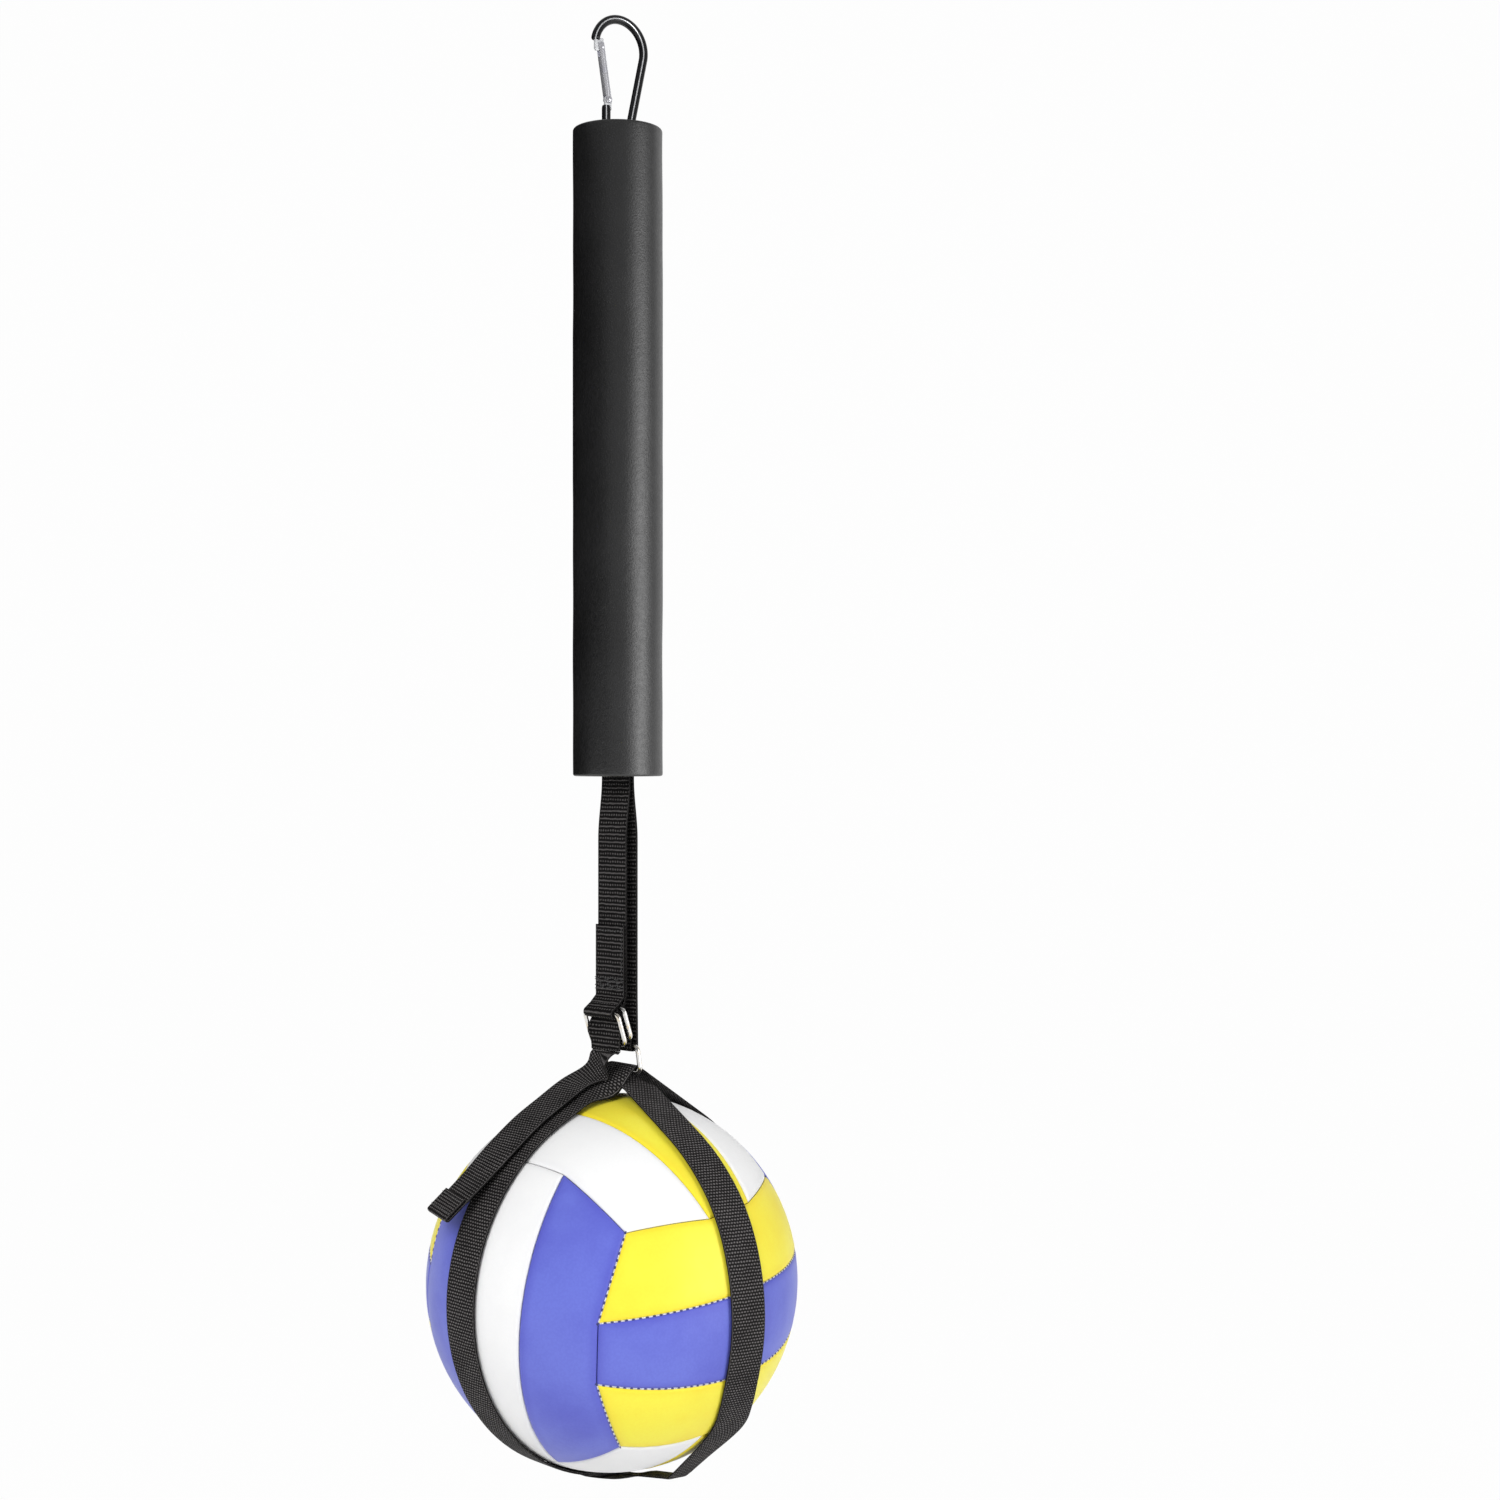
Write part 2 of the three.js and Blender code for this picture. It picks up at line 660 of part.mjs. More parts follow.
function carabinerRoute() {
  const { hookRadius, hookCentreU, footRadius, footCentreU, footCentreZ, noseAngle } = carabiner;
  const dx = footCentreU - hookCentreU;
  const dz = footCentreZ - hookCentreZ;
  const lean = Math.asin((hookRadius - footRadius) / Math.hypot(dx, dz));
  const spine = Math.atan2(dz, dx) + Math.PI / 2 - lean;
  const points = [];
  const addArc = (u, z, radius, from, to, count) => {
    for (let i = 0; i <= count; i += 1) {
      const angle = mix(from, to, i / count);
      points.push(new THREE.Vector3(u + radius * Math.cos(angle), 0, z + radius * Math.sin(angle)));
    }
  };
  addArc(hookCentreU, hookCentreZ, hookRadius, noseAngle, spine, steps.hookArc);
  addArc(footCentreU, footCentreZ, footRadius, spine, -Math.PI, steps.footArc);
  points.push(new THREE.Vector3(footCentreU - footRadius, 0, gate.pivotZ - carabiner.heelDrop));
  return points;
}

// Section of the grooved rod, as shares of its radius: two lobes with a groove down each face
function groovedRod(points) {
  const half = carabiner.grooveWidth / 2;
  const depth = rodRadius - carabiner.grooveDepth;
  const edge = Math.sqrt(rodRadius ** 2 - half ** 2);
  const lobeTurns = [40, 0, -40];
  const rodPoint = (turn) => [rodRadius * Math.cos(turn * degree), rodRadius * Math.sin(turn * degree)];
  const lobe = lobeTurns.map(rodPoint);
  const right = [[half, edge], ...lobe, [half, -edge]];
  const left = right.slice().reverse().map(([x, y]) => [-x, y]);
  const outline = [...right, [0, -depth], ...left, [0, depth]];
  const normal = new THREE.Vector3(0, 1, 0);
  return points.map((point, i) => {
    const before = points[Math.max(i - 1, 0)];
    const after = points[Math.min(i + 1, points.length - 1)];
    const tangent = after.clone().sub(before).normalize();
    const side = normal.clone().cross(tangent).normalize();
    return outline.map(([x, y]) => point.clone().addScaledVector(side, x).addScaledVector(normal, y));
  });
}

const gateAxis = new THREE.Vector3(gate.topU - gate.pivotU, 0, gate.topZ - gate.pivotZ);
const gateLength = gateAxis.length();
gateAxis.normalize();
const gateTurn = new THREE.Quaternion().setFromUnitVectors(up, gateAxis);
const gatePivot = new THREE.Vector3(gate.pivotU, 0, gate.pivotZ);
const pinPlace = gatePivot.clone().addScaledVector(gateAxis, gateLength - gate.pinInset);

function crossCylinder(radius, length, centre, sides) {
  const cylinder = new THREE.CylinderGeometry(radius, radius, length, sides);
  return place(cylinder, centre);
}

function carabinerBody() {
  const route = carabinerRoute();
  let body = toSolid(loft(groovedRod(route)));
  const nose = route[0];
  const { noseBladeWidth, noseBladeThickness, noseBladeLength, noseLip, heelDrop } = carabiner;
  const blade = new THREE.BoxGeometry(noseBladeWidth, noseBladeThickness, noseBladeLength);
  const bladeCentre = new THREE.Vector3(
    pinPlace.x + gate.pin / 2 + noseLip - noseBladeWidth / 2,
    0,
    nose.z - noseBladeLength / 2 + rodRadius / 2,
  );
  body = body.add(toSolid(place(blade, bladeCentre)));
  // Notch for the latch pin, open towards the inside of the hook
  const notchRadius = gate.pin / 2 + clearance;
  const notch = new THREE.BoxGeometry(noseBladeWidth, overrun, 2 * notchRadius);
  const notchCentre = new THREE.Vector3(pinPlace.x + noseBladeWidth / 2, 0, pinPlace.z);
  body = body.subtract(toSolid(crossCylinder(notchRadius, overrun, pinPlace, steps.pinSides)));
  body = body.subtract(toSolid(place(notch, notchCentre)));
  // Hinge tab, flat-sided with a round top, between the two cheeks of the gate
  const tab = new THREE.BoxGeometry(2 * gate.tabRadius, gate.tab, heelDrop + rodRadius);
  const tabCentre = new THREE.Vector3(gate.pivotU, 0, gate.pivotZ - (heelDrop + rodRadius) / 2);
  body = body.add(toSolid(place(tab, tabCentre)));
  body = body.add(toSolid(crossCylinder(gate.tabRadius, gate.tab, gatePivot, steps.tabSides)));
  const rivetHole = crossCylinder(gate.rivet / 2 + clearance / 2, overrun, gatePivot, steps.pinSides);
  body = body.subtract(toSolid(rivetHole));
  return toGeometry(body);
}

const plungerBase = gate.tabRadius + clearance;
const springBase = plungerBase + gate.plungerLength + clearance;
const boreTop = springBase + gate.springLength + gate.springWire + clearance;

// The gate: a round bar, bored from below for its spring and split at both ends
function gateTube() {
  const upright = new THREE.Quaternion().setFromAxisAngle(new THREE.Vector3(1, 0, 0), Math.PI / 2);
  const column = (radius, from, to) => place(
    new THREE.CylinderGeometry(radius, radius, to - from, steps.gateSides),
    new THREE.Vector3(0, 0, (from + to) / 2),
    upright,
  );
  let solid = toSolid(column(gate.outer / 2, -gate.tail, gateLength));
  solid = solid.subtract(toSolid(column(gate.bore / 2, -gate.tail - overrun, boreTop)));
  const slotBox = new THREE.BoxGeometry(gate.outer + overrun, gate.slot, 2 * gate.slotDepth);
  solid = solid.subtract(toSolid(place(slotBox, new THREE.Vector3(0, 0, gateLength))));
  const cheekGap = gate.tab + 2 * clearance;
  const cheekTop = gate.tabRadius + clearance;
  const cheekBox = new THREE.BoxGeometry(gate.outer + overrun, cheekGap, cheekTop + gate.tail + overrun);
  const cheekCentre = new THREE.Vector3(0, 0, (cheekTop - gate.tail - overrun) / 2);
  solid = solid.subtract(toSolid(place(cheekBox, cheekCentre)));
  const drill = gate.outer + overrun;
  const rivetHole = crossCylinder(gate.rivet / 2 + clearance / 2, drill, new THREE.Vector3(), steps.pinSides);
  solid = solid.subtract(toSolid(rivetHole));
  const pinCentre = new THREE.Vector3(0, 0, gateLength - gate.pinInset);
  const pinHole = crossCylinder(gate.pin / 2 + clearance / 2, drill, pinCentre, steps.pinHoleSides);
  return toGeometry(solid.subtract(toSolid(pinHole)));
}

// A pin with a low head at each end, across the carabiner
function headedPin(radius, head, headThickness, length) {
  const half = length / 2;
  const profile = [
    [0, -half - headThickness],
    [head * gate.headTopShare, -half - headThickness],
    [head, -half],
    [radius, -half],
    [radius, half],
    [head, half],
    [head * gate.headTopShare, half + headThickness],
    [0, half + headThickness],
  ].map(([x, y]) => new THREE.Vector2(x, y));
  return new THREE.LatheGeometry(profile, steps.pinSides);
}

function gateSpring() {
  const radius = gate.bore / 2 - gate.springWire / 2 - clearance;
  const count = gate.springTurns * steps.springTurn;
  const base = springBase + gate.springWire / 2;
  const sections = Array.from({ length: count + 1 }, (_, i) => {
    const turn = (2 * Math.PI * gate.springTurns * i) / count;
    const outward = new THREE.Vector3(Math.cos(turn), Math.sin(turn), 0);
    const rise = new THREE.Vector3(0, 0, base + (gate.springLength * i) / count);
    const point = outward.clone().multiplyScalar(radius).add(rise);
    return Array.from({ length: steps.springSides }, (_, k) => {
      const angle = (2 * Math.PI * k) / steps.springSides;
      return point.clone()
        .addScaledVector(outward, (gate.springWire / 2) * Math.cos(angle))
        .addScaledVector(up, (gate.springWire / 2) * Math.sin(angle));
    });
  });
  return loft(sections);
}

function buildCarabiner() {
  addPart(carabinerFrame, 'carabiner_body', carabinerBody(), colours.black);
  const pinLength = gate.outer + clearance;
  const rivet = headedPin(gate.rivet / 2, gate.rivetHead / 2, gate.rivetHeadThickness, pinLength);
  addPart(carabinerFrame, 'gate_rivet', rivet, colours.silver).position.copy(gatePivot);

  const swing = new THREE.Group();
  swing.position.copy(gatePivot);
  swing.quaternion.copy(gateTurn);
  carabinerFrame.add(swing);
  addPart(swing, 'carabiner_gate', gateTube(), colours.silver);
  const latch = headedPin(gate.pin / 2, gate.pin / 2 + clearance, clearance, pinLength);
  addPart(swing, 'gate_latch_pin', latch, colours.silver).position.z = gateLength - gate.pinInset;
  addPart(swing, 'gate_spring', gateSpring(), colours.silver);
  const plungerRadius = gate.bore / 2 - clearance;
  const sides = steps.pinSides;
  const plunger = new THREE.CylinderGeometry(plungerRadius, plungerRadius, gate.plungerLength, sides);
  const plungerMesh = addPart(swing, 'gate_plunger', plunger, colours.silver);
  plungerMesh.rotation.x = Math.PI / 2;
  plungerMesh.position.z = plungerBase + gate.plungerLength / 2;
}

// Foam sleeve

function buildSleeve() {
  const { outer, bore, top, length, edge } = sleeve;
  const bottom = top - length;
  const bevel = edge * sleeve.bevelShare;
  const profile = [
    [bore / 2, bottom],
    [outer / 2 - edge, bottom],
    [outer / 2 - bevel, bottom + bevel],
    [outer / 2, bottom + edge],
    [outer / 2, top - edge],
    [outer / 2 - bevel, top - bevel],
    [outer / 2 - edge, top],
    [bore / 2, top],
    [bore / 2, bottom],
  ].map(([x, y]) => new THREE.Vector2(x, y));
  const tube = new THREE.LatheGeometry(profile, steps.sleeveSides);
  const mesh = addPart(trainer, 'foam_sleeve', tube, colours.foam);
  mesh.rotation.x = Math.PI / 2;
}

// Ball: six faces of three strips. Each face has a normal, a direction along its strips and one across them.

const stripEnd = 53.1 * degree;
const stripCross = 9.3 * degree;
const seamCentreCross = 13 * degree;

// The ball's turn: a cube edge towards the viewer, leaned forward and rolled a little
const ballYaw = 7 * degree;
const ballTilt = 9.6 * degree;
const ballRoll = 0.7 * degree;

function ballAxes() {
  const turn = new THREE.Euler(ballTilt, ballRoll, ballYaw, 'ZXY');
  const axis = (x, y, z) => new THREE.Vector3(x, y, z).applyEuler(turn);
  const half = Math.SQRT1_2;
  return { left: axis(-half, -half, 0), right: axis(half, -half, 0), top: axis(0, 0, 1) };
}

function arc(a, b, share) {
  const angle = a.angleTo(b);
  const first = Math.sin((1 - share) * angle);
  const second = Math.sin(share * angle);
  return a.clone().multiplyScalar(first).addScaledVector(b, second).normalize();
}

function ballDirection(face, along, across) {
  return face.normal.clone().multiplyScalar(Math.cos(along) * Math.cos(across))
    .addScaledVector(face.along, Math.sin(along) * Math.cos(across))
    .addScaledVector(face.across, Math.sin(across));
}

function cubeCorner(face, alongSign, acrossSign) {
  const corner = face.normal.clone().addScaledVector(face.along, alongSign);
  return corner.addScaledVector(face.across, acrossSign).normalize();
}

// Seam between two strips of one face, from end to end
function innerSeam(face, sign) {
  return (share) => {
    const along = mix(-stripEnd, stripEnd, share);
    const cross = mix(seamCentreCross, stripCross, (along / stripEnd) ** 2);
    return ballDirection(face, along, sign * cross);
  };
}

// Long outer side of a face: the stepped row of the neighbour's strip ends
function outerSeam(face, sign) {
  const neighbour = {
    normal: face.across.clone().multiplyScalar(sign),
    along: face.normal,
    across: face.along,
  };
  const corners = [
    cubeCorner(face, -1, sign),
    ballDirection(neighbour, stripEnd, -stripCross),
    ballDirection(neighbour, stripEnd, stripCross),
    cubeCorner(face, 1, sign),
  ];
  const spans = corners.length - 1;
  return (share) => {
    const span = Math.min(Math.floor(share * spans), spans - 1);
    return arc(corners[span], corners[span + 1], share * spans - span);
  };
}

function patchPoint(low, high, u, v) {
  const startEdge = arc(low(0), high(0), v);
  const endEdge = arc(low(1), high(1), v);
  const point = low(u).multiplyScalar(1 - v).addScaledVector(high(u), v)
    .addScaledVector(startEdge, 1 - u).addScaledVector(endEdge, u)
    .addScaledVector(low(0), -(1 - u) * (1 - v)).addScaledVector(high(0), -(1 - u) * v)
    .addScaledVector(low(1), -u * (1 - v)).addScaledVector(high(1), -u * v);
  return point.normalize();
}

// A cover panel: a crowned shell whose edges dip into the seam
function panelSolid(low, high) {
  const lengthSteps = steps.panelLength;
  const widthSteps = steps.panelWidth;
  const gapShareU = ball.seamGap / 2 / (low(0).angleTo(low(1)) * ballRadius);
  const gapShareV = ball.seamGap / 2 / (low(0.5).angleTo(high(0.5)) * ballRadius);
  const inset = (k, count, share) => Math.min(Math.max(k / count, share), 1 - share);
  const outer = [];
  const inner = [];
  const innerRadius = ballRadius - ball.coverThickness;
  for (let i = 0; i <= lengthSteps; i += 1) {
    for (let j = 0; j <= widthSteps; j += 1) {
      const edge = i === 0 || j === 0 || i === lengthSteps || j === widthSteps;
      const u = inset(i, lengthSteps, gapShareU);
      const direction = patchPoint(low, high, u, inset(j, widthSteps, gapShareV));
      outer.push(direction.clone().multiplyScalar(ballRadius - (edge ? ball.seamDrop : 0)));
      inner.push(direction.clone().multiplyScalar(innerRadius));
    }
  }
  const row = widthSteps + 1;
  const size = outer.length;
  const index = [];
  for (let i = 0; i < lengthSteps; i += 1) {
    for (let j = 0; j < widthSteps; j += 1) {
      const a = i * row + j;
      index.push(a, a + 1, a + row + 1, a, a + row + 1, a + row);
      index.push(size + a, size + a + row + 1, size + a + 1, size + a, size + a + row, size + a + row + 1);
    }
  }
  const rim = [];
  for (let j = 0; j < widthSteps; j += 1) rim.push(j);
  for (let i = 0; i < lengthSteps; i += 1) rim.push(i * row + widthSteps);
  for (let j = widthSteps; j > 0; j -= 1) rim.push(lengthSteps * row + j);
  for (let i = lengthSteps; i > 0; i -= 1) rim.push(i * row);
  rim.forEach((a, k) => {
    const b = rim[(k + 1) % rim.length];
    index.push(a, size + a, size + b, a, size + b, b);
  });
  const positions = [...outer, ...inner].flatMap((point) => [point.x, point.y, point.z]);
  const geometry = new THREE.BufferGeometry();
  geometry.setAttribute('position', new THREE.Float32BufferAttribute(positions, 3));
  geometry.setIndex(signedVolume(positions, index) < 0 ? index.reverse() : index);
  return geometry;
}

function buildBall() {
  const { left, right, top } = ballAxes();
  const flip = (axis) => axis.clone().negate();
  const leftStrips = ['blue', 'white', 'blue'];
  const rightStrips = ['yellow', 'blue', 'yellow'];
  const topStrips = ['white', 'yellow', 'white'];
  const faces = [
    { name: 'left', normal: left, along: top, across: right, strips: leftStrips },
    { name: 'right', normal: right, along: left, across: top, strips: rightStrips },
    { name: 'top', normal: top, along: right, across: left, strips: topStrips },
    { name: 'left_opposite', normal: flip(left), along: top, across: right, strips: leftStrips },
    { name: 'right_opposite', normal: flip(right), along: left, across: top, strips: rightStrips },
    { name: 'bottom', normal: flip(top), along: right, across: left, strips: topStrips },
  ];
  const group = new THREE.Group();
  group.position.copy(ballCentre);
  trainer.add(group);

  const valveDirection = flip(left);
  const valveTurn = new THREE.Quaternion().setFromUnitVectors(new THREE.Vector3(0, 1, 0), valveDirection);
  const holeRadius = ball.valveDiameter / 2 + clearance;
  const valveHole = new THREE.CylinderGeometry(holeRadius, holeRadius, ballRadius, steps.valveSides);
  const valveCutter = place(valveHole, valveDirection.clone().multiplyScalar(ballRadius), valveTurn);

  for (const face of faces) {
    const seams = [outerSeam(face, -1), innerSeam(face, -1), innerSeam(face, 1), outerSeam(face, 1)];
    face.strips.forEach((colour, k) => {
      let geometry = panelSolid(seams[k], seams[k + 1]);
      if (face.name === 'left_opposite' && k === 1) {
        geometry = toGeometry(toSolid(geometry).subtract(toSolid(valveCutter)));
      }
      addPart(group, `panel_${face.name}_${k + 1}`, geometry, colours[colour]);
    });
  }
  buildBladder(group, valveTurn);
}

// Bladder with its valve opening, and the rubber valve in it
function buildBladder(parent, turn) {
  const outer = ballRadius - ball.coverThickness - ball.bladderGap;
  const inner = outer - ball.bladderThickness;
  const hole = ball.valveDiameter / 2 + clearance;
  const half = (radius) => {
    const rings = steps.bladderRings;
    const start = Math.asin(hole / radius);
    return Array.from({ length: rings + 1 }, (_, i) => {
      const angle = mix(start, Math.PI, i / rings);
      return new THREE.Vector2(i === rings ? 0 : radius * Math.sin(angle), radius * Math.cos(angle));
    });
  };
  const outerHalf = half(outer);
  const outerProfile = [new THREE.Vector2(0, outerHalf[0].y), ...outerHalf];
  const top = outer + overrun;
  const innerProfile = [new THREE.Vector2(0, top), new THREE.Vector2(hole, top), ...half(inner)];
  const shell = toSolid(new THREE.LatheGeometry(outerProfile.reverse(), steps.bladderSides))
    .subtract(toSolid(new THREE.LatheGeometry(innerProfile.reverse(), steps.bladderSides)));
  addPart(parent, 'ball_bladder', toGeometry(shell), colours.rubber).quaternion.copy(turn);

  const flangeRadius = ball.valveFlange / 2;
  const stemTop = ballRadius - ball.seamDrop;
  const flangeTop = inner - clearance;
  const bore = ball.valveBore / 2;
  const valveProfile = [
    [bore, flangeTop - ball.valveFlangeThickness],
    [flangeRadius, flangeTop - ball.valveFlangeThickness],
    [flangeRadius, flangeTop],
    [ball.valveDiameter / 2, flangeTop],
    [ball.valveDiameter / 2, stemTop],
    [bore, stemTop],
    [bore, flangeTop - ball.valveFlangeThickness],
  ].map(([x, y]) => new THREE.Vector2(x, y));
  const valve = new THREE.LatheGeometry(valveProfile, steps.valveSides);
  addPart(parent, 'ball_valve', valve, colours.rubber).quaternion.copy(turn);
}

buildCarabiner();
buildSleeve();
addPart(trainer, 'hanging_strap', loft(strapRow.map(webbingSection)), colours.webbing);
addPart(trainer, 'strap_tail', hemmedTail(), colours.webbing);
addPart(trainer, 'buckle_ring_inner', wireLoop(buckle, buckle.innerBar), colours.silver);
addPart(trainer, 'buckle_ring_outer', wireLoop(buckle, buckle.outerBar), colours.silver);
addPart(trainer, 'harness_ring', wireLoop(harnessRing, upperBar), colours.silver);
harnessLoops(trainer);
buildBall();

export default trainer;
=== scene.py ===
import math

import bmesh
import bpy
from mathutils import Matrix, Vector


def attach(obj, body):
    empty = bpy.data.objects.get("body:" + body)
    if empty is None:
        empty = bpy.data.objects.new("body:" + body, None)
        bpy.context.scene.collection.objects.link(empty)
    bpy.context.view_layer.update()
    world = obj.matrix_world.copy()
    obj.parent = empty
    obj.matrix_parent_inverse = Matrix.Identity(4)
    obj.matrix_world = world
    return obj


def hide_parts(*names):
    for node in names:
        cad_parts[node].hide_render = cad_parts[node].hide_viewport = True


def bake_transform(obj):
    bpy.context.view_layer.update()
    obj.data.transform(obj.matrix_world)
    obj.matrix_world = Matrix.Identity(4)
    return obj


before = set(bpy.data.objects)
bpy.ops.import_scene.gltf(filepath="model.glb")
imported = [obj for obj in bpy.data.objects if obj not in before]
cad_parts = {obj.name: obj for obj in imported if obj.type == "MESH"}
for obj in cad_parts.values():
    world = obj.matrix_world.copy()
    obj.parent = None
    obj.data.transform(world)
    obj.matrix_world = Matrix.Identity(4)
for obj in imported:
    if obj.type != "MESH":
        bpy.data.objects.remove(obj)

bl_info = {
    "name": "Volleyball spike trainer",
    "version": (1, 0, 0),
    "blender": (4, 5, 0),
    "location": "3D View > Sidebar > Spike trainer",
    "description": "Dresses the packed spike trainer: carabiner, sleeve, webbing, buckle, harness and ball",
    "category": "Object",
}

MM = 0.001
DEGREE = math.pi / 180
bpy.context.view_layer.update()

# Places and sizes of the frame, in millimetres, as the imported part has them
CLEARANCE = 0.3
WEBBING_HALF_WIDTH = 12.5
WEBBING_THICKNESS = 1.5
WEBBING_HALF_THICKNESS = WEBBING_THICKNESS / 2
BALL_RADIUS = 105.0
COVER_THICKNESS = 1.6
BALL_CENTRE = Vector((-3, 0, -712.501))
UP = Vector((0, 0, 1))
STRAP_AZIMUTH = 46 * DEGREE
CARABINER_AZIMUTH = 38 * DEGREE
FACE_DIRECTION = Vector((-math.sin(STRAP_AZIMUTH), -math.cos(STRAP_AZIMUTH), 0))
WIDTH_DIRECTION = Vector((math.cos(STRAP_AZIMUTH), -math.sin(STRAP_AZIMUTH), 0))


# Settings that a user would change

class FoamSettings(bpy.types.PropertyGroup):
    outer: bpy.props.FloatProperty(name="Outer diameter", description="Across the foam sleeve", default=0.051,
                                   subtype="DISTANCE", unit="LENGTH")
    bore: bpy.props.FloatProperty(name="Bore", description="Across the hole that the strap runs in",
                                  default=0.0276, subtype="DISTANCE", unit="LENGTH")
    edge: bpy.props.FloatProperty(name="Edge radius", description="Rounding of the cut ends", default=0.0014,
                                  subtype="DISTANCE", unit="LENGTH")
    colour: bpy.props.FloatVectorProperty(name="Foam colour", description="Colour of the foam's skin",
                                          default=(0.009, 0.009, 0.0095), subtype="COLOR", min=0, max=1)


class WebbingSettings(bpy.types.PropertyGroup):
    rib: bpy.props.FloatProperty(name="Rib pitch", description="Distance between two cross ribs",
                                 default=0.0022, subtype="DISTANCE", unit="LENGTH")
    thread: bpy.props.FloatProperty(name="Thread pitch",
                                    description="Distance between two lengthwise threads",
                                    default=0.0021, subtype="DISTANCE", unit="LENGTH")
    # The webbing colour shows on the raised threads as a painted highlight; the valleys get a small share of
    # it as painted shade
    colour: bpy.props.FloatVectorProperty(name="Webbing colour", description="Colour of the threads on top",
                                          default=(0.13, 0.122, 0.122), subtype="COLOR", min=0, max=1)
    stitch: bpy.props.FloatProperty(name="Stitch pitch", description="Distance between two sewing stitches",
                                    default=0.0026, subtype="DISTANCE", unit="LENGTH")


class MetalSettings(bpy.types.PropertyGroup):
    wire: bpy.props.FloatProperty(name="Buckle wire", description="Across the wire of the two buckle rings",
                                  default=0.0024, subtype="DISTANCE", unit="LENGTH")
    ring_wire: bpy.props.FloatProperty(name="Harness ring wire",
                                       description="Across the wire of the harness ring",
                                       default=0.0028, subtype="DISTANCE", unit="LENGTH")
    groove: bpy.props.FloatProperty(name="Groove width",
                                    description="Width of the groove down the hook's rod",
                                    default=0.0013, subtype="DISTANCE", unit="LENGTH")
    nickel: bpy.props.FloatVectorProperty(name="Plating colour", description="Colour of the plated wire",
                                          default=(0.8, 0.79, 0.77), subtype="COLOR", min=0, max=1)


class BallSettings(bpy.types.PropertyGroup):
    seam_drop: bpy.props.FloatProperty(name="Seam depth",
                                       description="How far a panel's edge dips into the seam",
                                       default=0.0009, subtype="DISTANCE", unit="LENGTH")
    seam_reach: bpy.props.FloatProperty(name="Edge rounding", description="Width of a panel's rounded edge",
                                        default=0.0026, subtype="DISTANCE", unit="LENGTH")
    tick: bpy.props.FloatProperty(name="Seam stitch pitch",
                                  description="Distance between two dark seam stitches",
                                  default=0.0037, subtype="DISTANCE", unit="LENGTH")
    blue: bpy.props.FloatVectorProperty(name="Blue", description="Blue cover panels",
                                        default=(0.146, 0.18, 0.67), subtype="COLOR", min=0, max=1)
    yellow: bpy.props.FloatVectorProperty(name="Yellow", description="Yellow cover panels",
                                          default=(0.97, 0.88, 0.06), subtype="COLOR", min=0, max=1)
    white: bpy.props.FloatVectorProperty(name="White", description="White cover panels",
                                         default=(0.95, 0.95, 0.95), subtype="COLOR", min=0, max=1)


class StageSettings(bpy.types.PropertyGroup):
    floor_level: bpy.props.FloatProperty(name="Floor level", description="Height of the floor under the ball",
                                         default=-1.02, subtype="DISTANCE", unit="LENGTH")
    ambient: bpy.props.FloatProperty(name="Ambient light",
                                     description="Strength of the even light from all round", default=0.31)
    key_power: bpy.props.FloatProperty(name="Key light", description="Power of the large front light",
                                       default=50, subtype="POWER", unit="POWER")
    fill_power: bpy.props.FloatProperty(name="Fill light", description="Power of the side light", default=23,
                                        subtype="POWER", unit="POWER")


# Shader maths

class Channel:
    """A socket of a material's node tree, with arithmetic on values written as Python."""

    def __init__(self, finish, socket):
        self.finish = finish
        self.socket = socket

    def maths(self, operation, *operands):
        return self.finish.node("ShaderNodeMath", {"operation": operation}, dict(enumerate(operands)))

    def __add__(self, other):
        return self.maths("ADD", self, other)

    __radd__ = __add__

    def __sub__(self, other):
        return self.maths("SUBTRACT", self, other)

    def __rsub__(self, other):
        return self.maths("SUBTRACT", other, self)

    def __mul__(self, other):
        return self.maths("MULTIPLY", self, other)

    def __truediv__(self, other):
        return self.maths("DIVIDE", self, other)

    def __pow__(self, other):
        return self.maths("POWER", self, other)

    def __abs__(self):
        return self.maths("ABSOLUTE", self)

    def sine(self):
        return self.maths("SINE", self)

    def part(self):
        return self.maths("FRACT", self)

    def above(self, other):
        return self.maths("GREATER_THAN", self, other)

    def greater(self, other):
        return self.maths("MAXIMUM", self, other)


